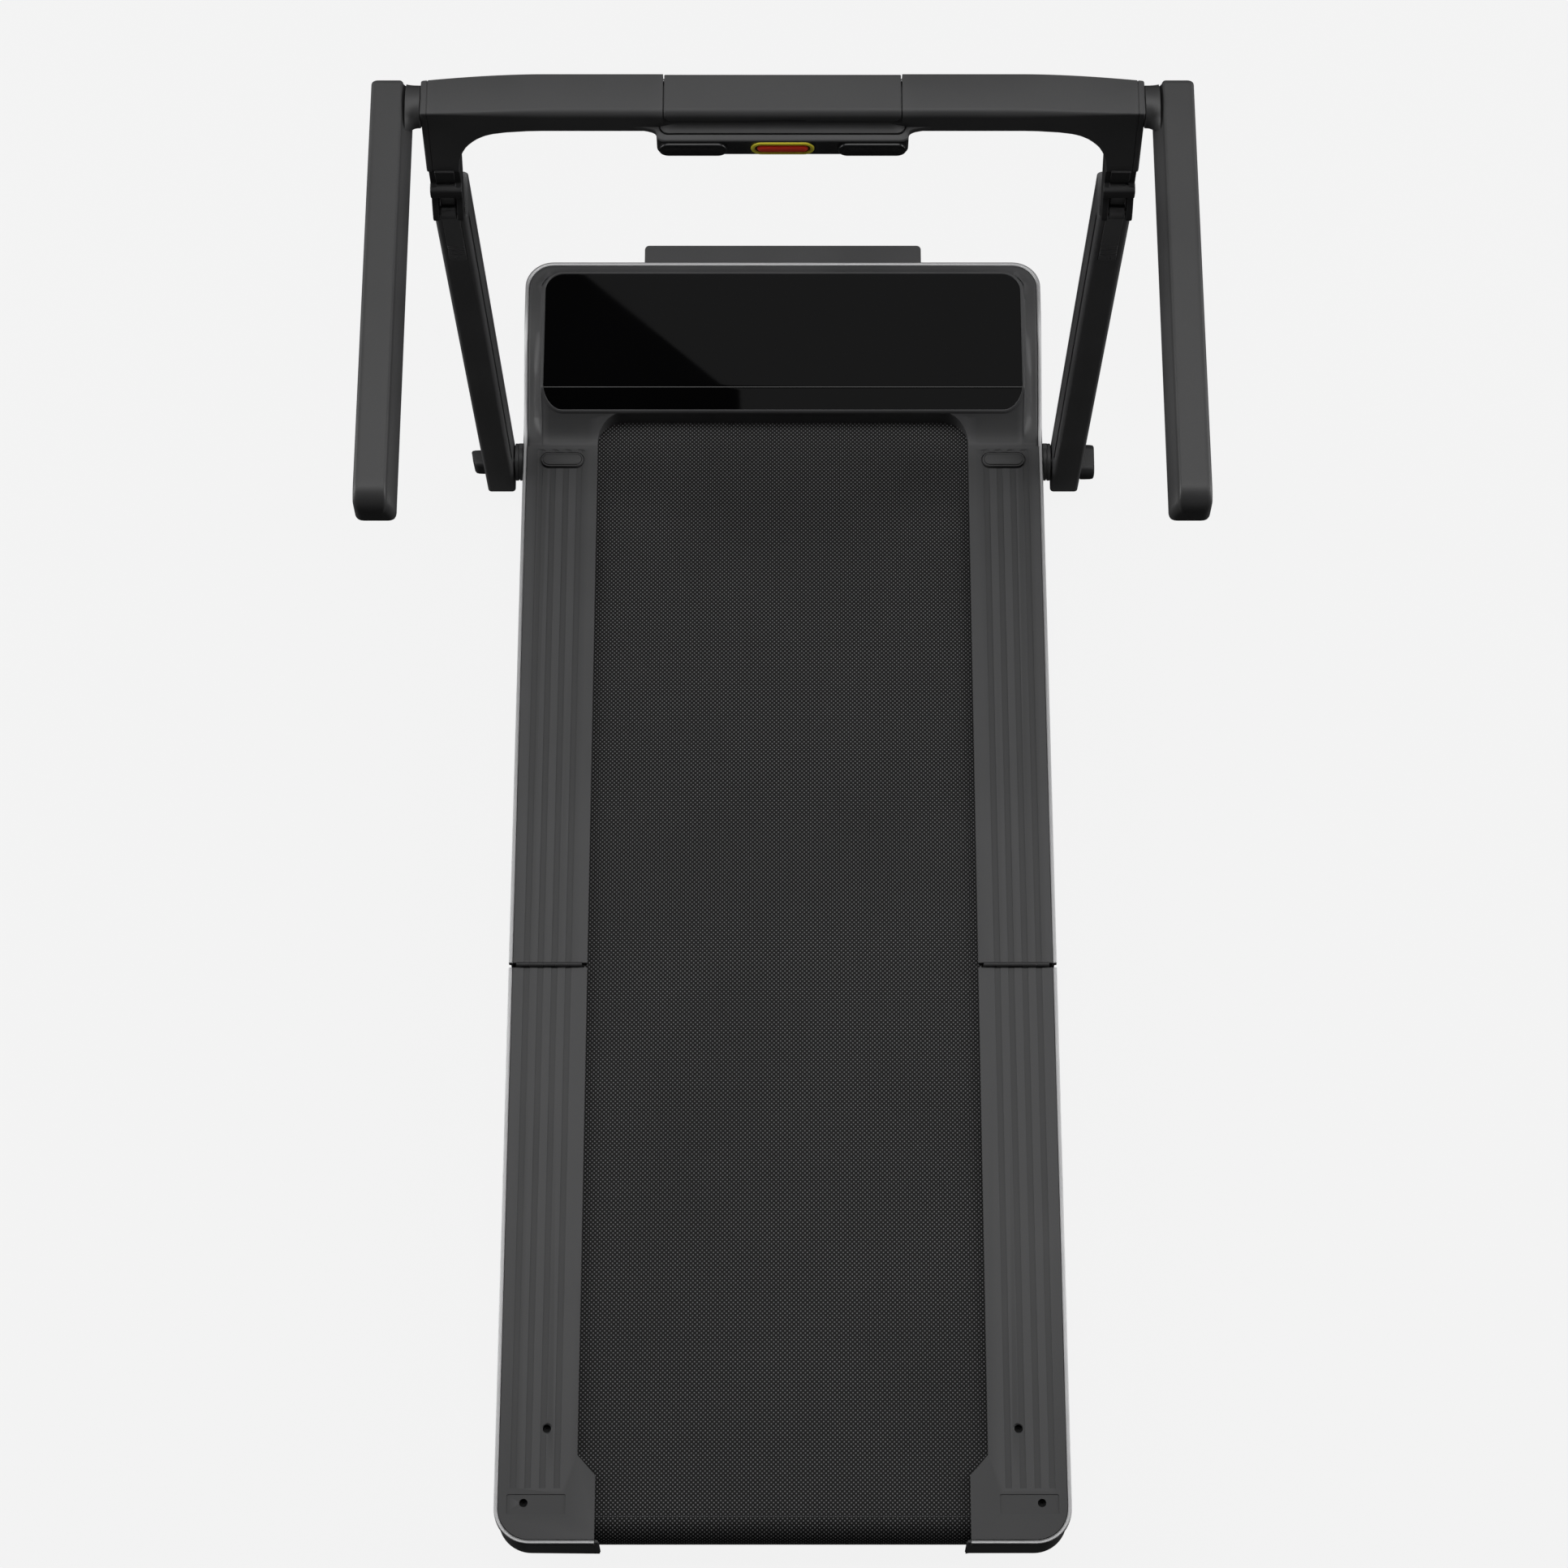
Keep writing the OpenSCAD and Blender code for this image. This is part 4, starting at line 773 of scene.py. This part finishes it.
me.materials.append(MAT["belt"])
belt = bpy.data.objects.new("running_belt", me)
bpy.context.scene.collection.objects.link(belt)
bm = bmesh.new()
bm.from_mesh(me)
bmesh.ops.recalc_face_normals(bm, faces=bm.faces)
bm.to_mesh(me)
bm.free()
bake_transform(belt)
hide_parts("running_belt_front", "running_belt_rear")

# ---------------------------------------------------------------- uprights

PIVOT_Y = PIVOT.y - FOLD_Y
PIVOT_Z = PIVOT.z
UP_X0 = low("right_upright").x
UP_X1 = high("right_upright").x
UP_X = (UP_X0 + UP_X1) / 2
HALF_D = 25.0
WIDE_TOP = 712.0
HINGE_V = -27.0
HINGE_U = 734.0


def up(x, v, u):
    """A point in an upright's own axes: across, along the deck, and up its length from the pivot."""
    c, s = math.cos(LEAN), math.sin(LEAN)
    return (x, PIVOT_Y - s * u + c * v, PIVOT_Z + c * u + s * v)


def up_part(part):
    v, f = part
    return [up(*p) for p in v], f


def tube_ring(x0, x1, v0, v1, r, u, n=5):
    return [(x, v, u) for x, v in rounded(x0, v0, x1, v1, r, n)]


def upright(side):
    flip = mirrored if side == "left" else (lambda p: p)
    body = rings_to_mesh([
        tube_ring(UP_X0 + 4, UP_X1 - 4, -HALF_D + 4, HALF_D - 4, 3, -32),
        tube_ring(UP_X0 + 1.3, UP_X1 - 1.3, -HALF_D + 1.3, HALF_D - 1.3, 3.5, -31),
        tube_ring(UP_X0, UP_X1, -HALF_D, HALF_D, 4, -28),
        tube_ring(UP_X0, UP_X1, -HALF_D, HALF_D, 4, 340),
        tube_ring(UP_X0, UP_X1, -HALF_D, HALF_D, 4, WIDE_TOP - 3),
        tube_ring(UP_X0 + 1, UP_X1 - 1, -HALF_D + 1, HALF_D - 1, 3.5, WIDE_TOP)])
    name = side + "_upright"
    ob = make(name + "_tube", *flip(up_part(body)), "uprights", "paint", sharp=40,
              replaces=(name,))
    pocket = box_part(UP_X - 9.2, -HALF_D - 3, 614.2, UP_X + 9.2, -HALF_D + 5.4, WIDE_TOP + 5)
    channel = box_part(UP_X0 - 3, -17, 40, UP_X0 + 1.8, -10, 696)
    channel2 = box_part(UP_X0 - 3, 12, 40, UP_X0 + 0.9, 13.6, 696)
    cut(ob, *[flip(up_part(c)) for c in (pocket, channel, channel2)])
    # tongue and barrel that the console turns on
    tongue = prism(rounded(UP_X - 7.4, -HALF_D, UP_X + 7.4, HALF_D - 6, 2, 3), flat, WIDE_TOP - 3, HINGE_U
                   + 34)
    turn = [math.tau * i / 36 for i in range(36)]
    barrel = rings_to_mesh([[(UP_X + w, HINGE_V + r * math.cos(a), HINGE_U + r * math.sin(a))
                             for a in turn] for w, r in ((-7.5, 6), (-7.5, 7.9), (-6.9, 8.5), (-1, 8.5),
                                                         (6.9, 8.5), (7.5, 7.9), (7.5, 6))])
    make(name + "_tongue", *flip(up_part(join(tongue, barrel))), "uprights", "paint", bevel=0.6)
    # latch slider, its ribs and its small screw
    s_low = 614.5
    plate = prism([(UP_X - 8.7, s_low + 3)] + arc(UP_X, s_low + 16, 16.6, 238, 302, 8)
                  + [(UP_X + 8.7, s_low + 3), (UP_X + 8.7, 711), (UP_X - 8.7, 711)], facing_y,
                  -HALF_D - 0.06, -HALF_D - 0.8)
    body = box_part(UP_X - 8.7, -HALF_D - 0.4, 625, UP_X + 8.7, -HALF_D + 5, 711)
    ribs = [prism([(-HALF_D - 0.5, u - 1.6), (-HALF_D - 1.4, u - 0.6), (-HALF_D - 1.5, u + 0.6),
                   (-HALF_D - 0.5, u + 1.2)], facing_x, UP_X - 8, UP_X + 8)
            for u in (628, 633, 638, 643, 648)]
    make(side + "_slider", *flip(up_part(join(plate, body, *ribs))), side + "_latch", "paint", bevel=0.5,
         replaces=(side + "_latch_slider",))
    dot = rings_to_mesh([[(UP_X + 2.2 + r * math.cos(a), v, 619.6 + r * math.sin(a)) for a in turn[::3]]
                         for r, v in ((1.3, -HALF_D - 0.5), (1.3, -HALF_D - 1.1), (0.7, -HALF_D - 1.35))])
    make(side + "_slider_screw", *flip(up_part(dot)), side + "_latch", "steel")
    # clamping knob
    knob = side + "_pivot_knob"
    k0 = UP_X1 + 0.4
    if side == "right":
        half_a, half_b, tilt, slope = 19.0, 12.5, math.radians(6), 0.0
    else:
        half_a, half_b, tilt, slope = 10.5, 12.0, 0.0, 0.55
    round_r = 9.0 if side == "right" else 4.2
    rings = []
    for inset, w in ((1.5, 0), (0, 1.2), (0, 6), (0.2, 12), (0.8, 15.2), (2.4, 16.2)):
        ring = []
        for a, b in rounded(-half_a + inset, -half_b + inset, half_a - inset, half_b - inset,
                            round_r - inset, 8):
            y = a * math.cos(tilt) - b * math.sin(tilt)
            z = a * math.sin(tilt) + b * math.cos(tilt)
            cutback = max(0.0, -y - 1) * slope * (w / 16.2)
            ring.append((k0 + w - cutback, PIVOT_Y + y, PIVOT_Z + z))
        rings.append(ring)
    make(knob + "_cap", *flip(rings_to_mesh(rings)), side + "_knob", "black", sharp=45, replaces=(knob,))
    # bracket between the deck and the upright
    disc = rings_to_mesh([[(x, PIVOT_Y + r * math.cos(a), PIVOT_Z + r * math.sin(a)) for a in turn] for x,
                          r in ((BODY - 6, 15), (BODY + 0.2, 15), (BODY + 0.2, 20.2), (BODY + 0.8, 21),
                                (BODY + 4.6, 21), (BODY + 4.9, 19.6), (BODY + 5.6, 19.6), (BODY + 5.9, 21),
                                (UP_X0 - 1.8, 21), (UP_X0 - 1.2, 20.3), (UP_X0 - 1.2, 10))])
    block = prism(rounded(PIVOT_Y - 2, PIVOT_Z + 4, PIVOT_Y + 14.5, PIVOT_Z + 19.5, 2, 3), facing_x, BODY
                  + 0.3, BODY + 5.2)
    make(side + "_bracket", *flip(join(disc, block)), "front_base", "paint", bevel=0.5)


for side in ("left", "right"):
    upright(side)
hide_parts("pivot_brackets")

# ---------------------------------------------------------------- console

cs_high = high("crossbar_shell")
BAR_TOP = cs_high.z
BAR_END = cs_high.x
REAR_Y = low("tablet_flap").y
FRONT_MID = cs_high.y
FLAP_X = high("tablet_flap").x
LEG_Z = 829.0
PIN_Y, PIN_Z = FRONT_MID - 5.0, BAR_TOP - 5.0
under_pts = [(225, 888), (238, 887.6), (258, 885.8), (270, 883.6), (277, 881.4), (285, 876.8), (292.5, 870),
             (298, 862.5), (302, 853), (304.3, 843), (305.3, 833), (305.8, LEG_Z)]


def under_z(x):
    return table(under_pts, abs(x))


def front_y(x):
    return FRONT_MID - 7.4 * (max(0.0, abs(x) - 225) / (BAR_END - 225)) ** 1.7


def rear_y(z):
    return REAR_Y - 9.0 * min(1.0, max(0.0, (896 - z) / 67))


def bar_section(x, end=0.0):
    """Side view of the crossbar shell at x, as a closed ring; end shrinks it for the end face."""
    zt = BAR_TOP - end
    zb = under_z(x) + end
    yf = front_y(x) - end
    seat = 4.4 if abs(x) < FLAP_X + 1.1 else 0.0
    zt -= seat
    r_back = 1.6 + 5.5 * smooth((BAR_END - abs(x)) / 130)
    if seat:
        r_back = 5.0
    y_top = REAR_Y + end + seat
    pts = []
    if seat:
        pts += [(PIN_Y + 6.3 * math.cos(math.radians(a)), PIN_Z + 6.3 * math.sin(math.radians(a)))
                for a in span(-37.5, -185.5, 5)]
    else:
        pts += [(yf - 1.2 + 1.2 * math.sin(a), zt - 1.2 + 1.2 * math.cos(a)) for a in span(math.pi / 2, 0, 5)]
    pts += [(y_top + r_back - r_back * math.sin(a), zt - r_back + r_back * math.cos(a))
            for a in span(0, math.pi / 2, 6)]
    z_a, z_b = zt - r_back - 0.5, zb + 5
    for t in span(0, 1, 8)[1:]:
        z = z_a + (z_b - z_a) * t
        pts.append((rear_y(z) + end + (seat * (1 - smooth(t * 3)) if seat else 0), z))
    y_low = pts[-1][0]
    pts += [(y_low + 5 - 5 * math.cos(a), zb + 5 - 5 * math.sin(a)) for a in span(0, math.pi / 2, 4)[1:]]
    depth = yf - 4 - 10 * min(1.0, max(0.0, (888 - zb) / 59))
    pts += [(depth - 5 + 5 * math.sin(a), zb + 5 - 5 * math.cos(a)) for a in span(0, math.pi / 2, 4)]
    return [(x, y, z) for y, z in pts]


stations = [(0, 0), (60, 0), (FLAP_X + 1.05, 0), (FLAP_X + 1.15, 0), (118, 0), (130, 0), (150, 0), (170, 0),
            (190, 0), (205, 0)]
stations += [(x, 0) for x in (215, 225, 232, 238, 245, 252, 258, 264, 270, 274, 278, 282, 286, 290, 294,
                              297, 299.5, 301.5, 303, 304.2, 305, 305.5, 305.9, 308, 314, 320, 326, 329.4)]
stations += [(329.7, 0.5), (330.3, 0.5), (330.6, 0), (334, 0), (335.3, 0.25), (335.8, 0.8), (BAR_END, 1.8)]
half = [bar_section(x, e) for x, e in stations]
rings = [[(-x, y, z) for x, y, z in r] for r in reversed(half[1:])] + half
make("crossbar_body", *rings_to_mesh(rings), "console", "console", sharp=48,
             replaces=("crossbar_shell",))

# fork that straddles each upright's barrel, the block above it and its lip; the fork is console plastic,
# coloured dark as painted shade
fork_parts = []
turn = [math.tau * i / 40 for i in range(40)]
for x0, x1 in ((UP_X0 + 1, UP_X0 + 7), (UP_X1 - 7, UP_X1 - 1)):
    plate = ([(HINGE_V + 9.9 * math.cos(a), HINGE_U + 9.9 * math.sin(a))
              for a in span(math.radians(165), math.radians(340), 18)]
             + [(14, HINGE_U + 42), (14, HINGE_U + 60), (-15, HINGE_U + 60), (-17, HINGE_U + 41),
                (-23.5, HINGE_U + 38), (-25, HINGE_U + 24), (-32, HINGE_U + 12.5)])
    fork_parts.append(up_part(prism(plate, facing_x, x0, x1)))
lip = prism([(-26, HINGE_U + 25.4), (-22, HINGE_U + 25.4), (-16, HINGE_U + 39), (-21.5, HINGE_U + 39),
             (-25.2, HINGE_U + 37.6), (-26.6, HINGE_U + 34), (-26.9, HINGE_U + 28)], facing_x, UP_X0 + 0.6,
            UP_X1 - 0.6)
web = box_part(UP_X0 + 6.5, -17, HINGE_U + 33, UP_X1 - 6.5, 12, HINGE_U + 62)
fork = join(*fork_parts, up_part(lip), up_part(web))
# painted shade: the fork takes the darker black plastic look instead of its own console plastic
make("console_fork", *join(fork, mirrored(fork)), "console", "black", bevel=0.9, segments=3,
     slot="console_plastic")

# body that stands out towards the user, with the ledge above the fascia
FASCIA_Y = low("console_fascia").y - 0.2
BUMP = 117.4
# levels of the console body: height, front, half width, plan corner radius,
# and how far it flares into the crossbar
LEVELS = [(873.5, 1.6, -1.6, 8, 0), (874.2, 0.4, -0.4, 8, 0), (875.2, 0, 0, 8, 0), (886, 0, 0, 8, 0),
          (888, 0, 0, 8, 0.1), (890.5, 0, 0, 8, 0.45), (893, 0, 0, 8, 0.9), (896.6, 0, 0, 8, 1),
          (897.5, 0.3, -0.3, 8, 1), (898.1, 1.2, -1.0, 8, 1), (898.4, 6.3, -2.4, 8, 1),
          (895.4, 6.5, -2.6, 8, 1), (895.4, 7.8, -3.4, 8, 1), (898.9, 8.0, -3.6, 8, 1),
          (899.5, 9.4, -4.4, 9, 1), (900.3, 11.4, -5.4, 9, 1), (901.4, 13.2, -6.4, 10, 1),
          (903.0, 14.6, -7.4, 11, 1), (905.2, 15.4, -8.4, 12, 1)]


def bump_level(z, front, wide, r, flare):
    """Plan of the console body at one height, right half from the middle of its face to the crossbar."""
    f, w = FASCIA_Y + front, BUMP + wide
    pts = [(0, f), (40, f), (80, f), (w - r - 4, f)]
    pts += [(w - r + r * math.sin(a), f + r - r * math.cos(a)) for a in span(0, math.pi / 2, 8)]
    y0, y1 = f + r, REAR_Y + 0.6
    if y1 < y0 + 1:
        y1 = y0 + 1
    pts += [(w + flare * 28 * t ** 3.2, y0 + (y1 - y0) * t) for t in span(0, 1, 8)[1:]]
    back = REAR_Y + 14 + 10 * min(1, (z - 873.5) / 18.5)
    pts += [(w + flare * 24, max(y1 + 1, REAR_Y + 4)), (w, back), (0, back)]
    return pts + [(-x, y) for x, y in reversed(pts[1:-1])]


rings = [[(x, y, z) for x, y in bump_level(z, *rest)] for z, *rest in LEVELS]
make("console_bump", *rings_to_mesh(rings), "console", "console", sharp=45)
face = [[(x, y - 0.25, z) for x, y in bump_level(z, inset, -inset, 8, 0)[:13]] for z, inset in
        ((875.6, 0.6), (876.2, 0), (895.6, 0), (896.2, 0.6))]
back = [[(x, y + 0.9, z) for x, y, z in r] for r in face]
half = [f + list(reversed(b)) for f, b in zip(face, back)]
plate = rings_to_mesh(half)
make("fascia_plate", *join(plate, mirrored(plate)), "console", "gloss", sharp=40,
     replaces=("console_fascia",))


def stadium_face(x, half_w, half_h, z, steps):
    """A pill-shaped button that faces the user: steps are (inset, y)."""
    rings = []
    for inset, y in steps:
        r = half_h - inset
        rings.append([(px, y, pz) for px, pz in rounded(x - half_w + inset, z - r, x + half_w - inset, z
                                                        + r, r - 0.01, 10)])
    return rings_to_mesh(rings)


PAD_Z = (low("left_control_pad").z + high("left_control_pad").z) / 2
pad_y = low("left_control_pad").y
for side, sx in (("left", -1), ("right", 1)):
    px = sx * 83.4
    steps = [(0.6, FASCIA_Y + 2.0), (0, FASCIA_Y - 0.4), (0, pad_y + 1.0), (0.5, pad_y + 0.3), (1.4, pad_y),
             (4.5, pad_y), (6.0, pad_y + 0.3)]
    make(side + "_pad_key", *stadium_face(px, 31.8, 9.3, PAD_Z, steps), side + "_pad", "gloss", sharp=50,
         replaces=(side + "_control_pad",))
ks = low("key_socket")
ring = stadium_face(0, 29.6, 9.8, PAD_Z,
                    [(0.4, FASCIA_Y + 2), (0, FASCIA_Y), (0, ks.y + 0.8), (0.8, ks.y), (3.0, ks.y),
                     (3.7, ks.y + 0.8), (3.8, ks.y + 5)])
make("socket_ring", *ring, "console", "yellow", sharp=50, replaces=("key_socket",))
key = stadium_face(0, 23.9, 4.9, PAD_Z,
                   [(0.5, ks.y + 4.6), (0, ks.y + 3.6), (0, ks.y + 1.0), (0.5, ks.y + 0.3),
                    (1.4, ks.y - 0.5), (2.6, ks.y - 1.0), (4.0, ks.y - 1.3), (5.2, ks.y - 1.4)])
make("key_body", *key, "key", "red", sharp=50, replaces=("safety_key",))

# tablet flap: a lid that wraps over the crossbar's rear edge
flap_low = low("tablet_flap")


def flap_section(x):
    d = FLAP_X - abs(x)
    lift_z = 0.0
    if d < 8:
        lift_z = 8 - math.sqrt(max(0.0, 64 - (8 - d) ** 2))
    notch = 2.2 * (1 - smooth((abs(x) - 19) / 4))
    zb = flap_low.z + lift_z + notch
    r, t = 7.0, 2.9
    e = 0.0 if d > 0.5 else 0.5
    pts = []
    for a in [math.radians(q) for q in span(155, 360, 10) + span(370, 450, 8)]:
        k = 5.0 if math.sin(a) < 0.05 or math.cos(a) < 0 else min(5.9, 5.0 / max(math.cos(a), math.sin(a)))
        pts.append((PIN_Y + (k - e) * math.cos(a), PIN_Z + (k - e) * math.sin(a)))
    pts += [(REAR_Y + r - r * math.sin(a), BAR_TOP - r + (r - e) * math.cos(a))
            for a in span(0, math.pi / 2, 8)]
    pts += [(REAR_Y + e, min(BAR_TOP - r - 0.5, zb + 2.6)), (REAR_Y + e, zb + 0.6), (REAR_Y + 0.5 + e, zb),
            (REAR_Y + t, zb), (REAR_Y + t, BAR_TOP - r - 0.4)]
    pts += [(REAR_Y + r - (r - t) * math.sin(a), BAR_TOP - r + (r - t) * math.cos(a))
            for a in span(math.pi / 2, 0, 5)]
    pts += [(PIN_Y - 9, BAR_TOP - t)]
    return [(x, y, z) for y, z in pts]


fx = [-FLAP_X + q for q in (0, 0.6, 1.4, 2.4, 3.6, 5, 6.5, 8, 20)] + [-60, -30] + span(-24, -18, 6)
fx = fx + [0] + [-x for x in reversed(fx)]
make("flap_lid", *rings_to_mesh([flap_section(x) for x in fx]), "flap", "console", sharp=45,
     replaces=("tablet_flap",))

# ---------------------------------------------------------------- armrests

al, ah = low("right_armrest"), high("right_armrest")
ARM_X1 = ah.x
ARM_X0 = ARM_X1 - 37.5
ARM_REAR, ARM_FRONT = al.y, ah.y
ARM_TOP = BAR_TOP
NECK_Y = JOINT["left_armrest_fold"]["pos_m"][1] / MM - FOLD_Y
NECK_Z = JOINT["left_armrest_fold"]["pos_m"][2] / MM
ARM_W = 37.5
sec = [(10.5, 38), (16, 38.0), (24, 38), (31, 38), (33.4, 37.9), (35.2, 37.2), (36.5, 35.8), (37.2, 33.8),
       (37.5, 31), (37.5, 20), (37.5, 5), (36.9, 2.6), (35.2, 0.8), (32.5, 0), (5, 0), (2.4, 0.6),
       (0.8, 2.2), (0.2, 5), (0, 9), (0.3, 14), (2.2, 21), (5.0, 28), (6.6, 31.0), (7.2, 32.6), (7.4, 34.8),
       (8.2, 37.0), (9.2, 37.8)]


def armrest(side):
    flip = mirrored if side == "left" else (lambda p: p)
    ys = [0, 0.25, 0.8, 1.8, 3.2, 5, 7, 9.5, 12.5, 16, 20, 24, 60, 120, 200, 300, 380]
    length = ARM_FRONT - ARM_REAR
    ys = ys + [length - q for q in (20, 10, 6, 4.2, 2.8, 1.6, 0.7, 0.2, 0)]
    rings = []
    for d in ys:
        f = length - d
        r_top, r_low, r_side = 20.0, 4.0, 7.0
        top = 38.0 - (r_top - math.sqrt(max(0, r_top ** 2 - (r_top - min(d, r_top)) ** 2)))
        low_z = r_low - math.sqrt(max(0, r_low ** 2 - (r_low - min(d, r_low)) ** 2))
        side_in = r_side - math.sqrt(max(0, r_side ** 2 - (r_side - min(d, r_side)) ** 2))
        if f < 4:
            q = 4 - math.sqrt(max(0, 16 - (4 - f) ** 2))
            top, low_z, side_in = 38 - q, q, q
        top = max(top, low_z + 0.8)
        rings.append([(ARM_X0 + side_in + x / ARM_W * (ARM_W - 2 * side_in), ARM_REAR + d,
                       ARM_TOP - 38 + low_z + z / 38.0 * (top - low_z)) for x, z in sec])
    body = rings_to_mesh(rings)
    name = side + "_armrest"
    ob = make(name + "_body", *flip(body), side + "_arm", "arm", sharp=40, replaces=(name,))
    gap = ARM_X0 - BAR_END
    prof = [(BAR_END + 0.3, 8), (BAR_END + 0.3, 15.6), (BAR_END + 0.8, 16.4)]
    prof += [(BAR_END + 1 + (gap + 4) * t, 16.6 + 11.0 * t ** 3) for t in span(0, 1, 8)]
    rings = []
    for x, r in prof:
        ring = []
        for a in turn:
            grow = max(0.0, r - 16.6)
            y = min(16.6, r) * 1.24 * math.cos(a) + grow * (min(0.0, math.cos(a))
                                                            + 0.12 * max(0.0, math.cos(a)))
            z = min(16.6, r) * 1.04 * math.sin(a) + grow * min(0.0, math.sin(a)) * 0.1
            ring.append((x, NECK_Y + 0.7 + y, NECK_Z - 0.6 + z))
        rings.append(ring)
    make(name + "_neck", *flip(rings_to_mesh(rings)), side + "_arm", "arm", sharp=40)


for side in ("left", "right"):
    armrest(side)

# ---------------------------------------------------------------- CAD nodes that stay

KEPT = {
    "frame": ["front_frame", "rear_frame", "crossbar_beam", "motor_housing"],
    "wood": ["front_deck_board", "rear_deck_board"],
    "rubber": ["deck_cushions", "front_feet", "rear_feet", "transport_wheels", "drive_belt"],
    "board": ["display_board", "console_board"],
    "black": ["front_bottom_cover", "rear_bottom_cover", "power_inlet", "switch_housing",
              "front_hinge_leaves",
              "rear_hinge_leaves"],
    "alu": ["motor_controller"],
    "red": ["power_switch"],
    "steel": ["motor_rotor", "wheel_axle", "front_roller_axle", "front_roller", "rear_roller_axle",
              "rear_roller",
              "tension_bolts", "pivot_shafts", "console_hinge_pins", "fold_hinge_pins", "flap_hinge_pin"],
}
for key, names in KEPT.items():
    for name in names:
        ob = frame["nodes"][name]
        if not ob.data.materials:
            ob.data.materials.append(MAT[key])
        for s in ob.material_slots:
            s.material = MAT[key]

# ---------------------------------------------------------------- stage, lights, camera

me = bpy.data.meshes.new("floor")
corners = [(x * FLOOR_HALF, y * FLOOR_HALF, 0) for x, y in ((-1, -1), (1, -1), (1, 1), (-1, 1))]
me.from_pydata(corners, [], [(0, 1, 2, 3)])
floor = bpy.data.objects.new("floor", me)
bpy.context.scene.collection.objects.link(floor)
floor.data.materials.append(Shader("floor_white").finish(
    Base_Color=(0.04, 0.04, 0.04, 1), Roughness=0.9, Specular_IOR_Level=0.0, Emission_Color=(1, 1, 1, 1),
    Emission_Strength=0.875))
floor.visible_diffuse = False
floor.visible_glossy = False


def area(name, loc, aim, size, power, size_y=None):
    d = bpy.data.lights.new(name, "AREA")
    d.shape = "RECTANGLE"
    d.size = size
    d.size_y = size_y or size
    d.energy = power
    o = bpy.data.objects.new(name, d)
    o.location = loc
    o.rotation_euler = (Vector(aim) - Vector(loc)).to_track_quat("-Z", "Y").to_euler()
    bpy.context.scene.collection.objects.link(o)
    return o


area("key", (0.0, 0.95, 4.2), (0, 0.6, 0), 4.6, 63, 1.7)
area("side_left", (-3.6, 0.6, 1.4), (0, 0.1, 0.4), 1.6, 72, 3.0)
area("side_right", (3.6, 0.6, 1.4), (0, 0.1, 0.4), 1.6, 72, 3.0)
# two dim cards that only the hood's glossy panel mirrors
card = area("glass_card", (0.212, 3.473, 4.2), (0.212, 3.473, 0), 3.0, 3.0, 1.6)
card.rotation_euler = (0, 0, math.radians(-42))
area("glass_card_low", (0.603, -3.0, 1.6), (0.2, 0.6, 0.1), 1.4, 0.95, 1.0)
# light that a pale floor throws back up
bounce = area("bounce", (0, 0, 0.004), (0, 0, 1), 7.0, 30, 7.0)
bounce.visible_camera = False
bounce.visible_glossy = False
world = bpy.data.worlds.new("world")
bpy.context.scene.world = world
world.use_nodes = True
bg = world.node_tree.nodes["Background"]
bg.inputs["Color"].default_value = (0.9, 0.9, 0.9, 1)
bg.inputs["Strength"].default_value = 0.01

cam_data = bpy.data.cameras.new("camera")
cam_data.sensor_width = SENSOR
cam_data.lens = SENSOR * FOCAL_PX / PHOTO_PX
cam = bpy.data.objects.new("camera", cam_data)
cam.location = (CAMERA[0] * MM, (CAMERA[1] + FOLD_Y) * MM, CAMERA[2] * MM)
cam.rotation_euler = (math.radians(CAMERA_PITCH), 0, 0)
bpy.context.scene.collection.objects.link(cam)
bpy.context.scene.camera = cam
bpy.context.scene.view_settings.view_transform = "Standard"
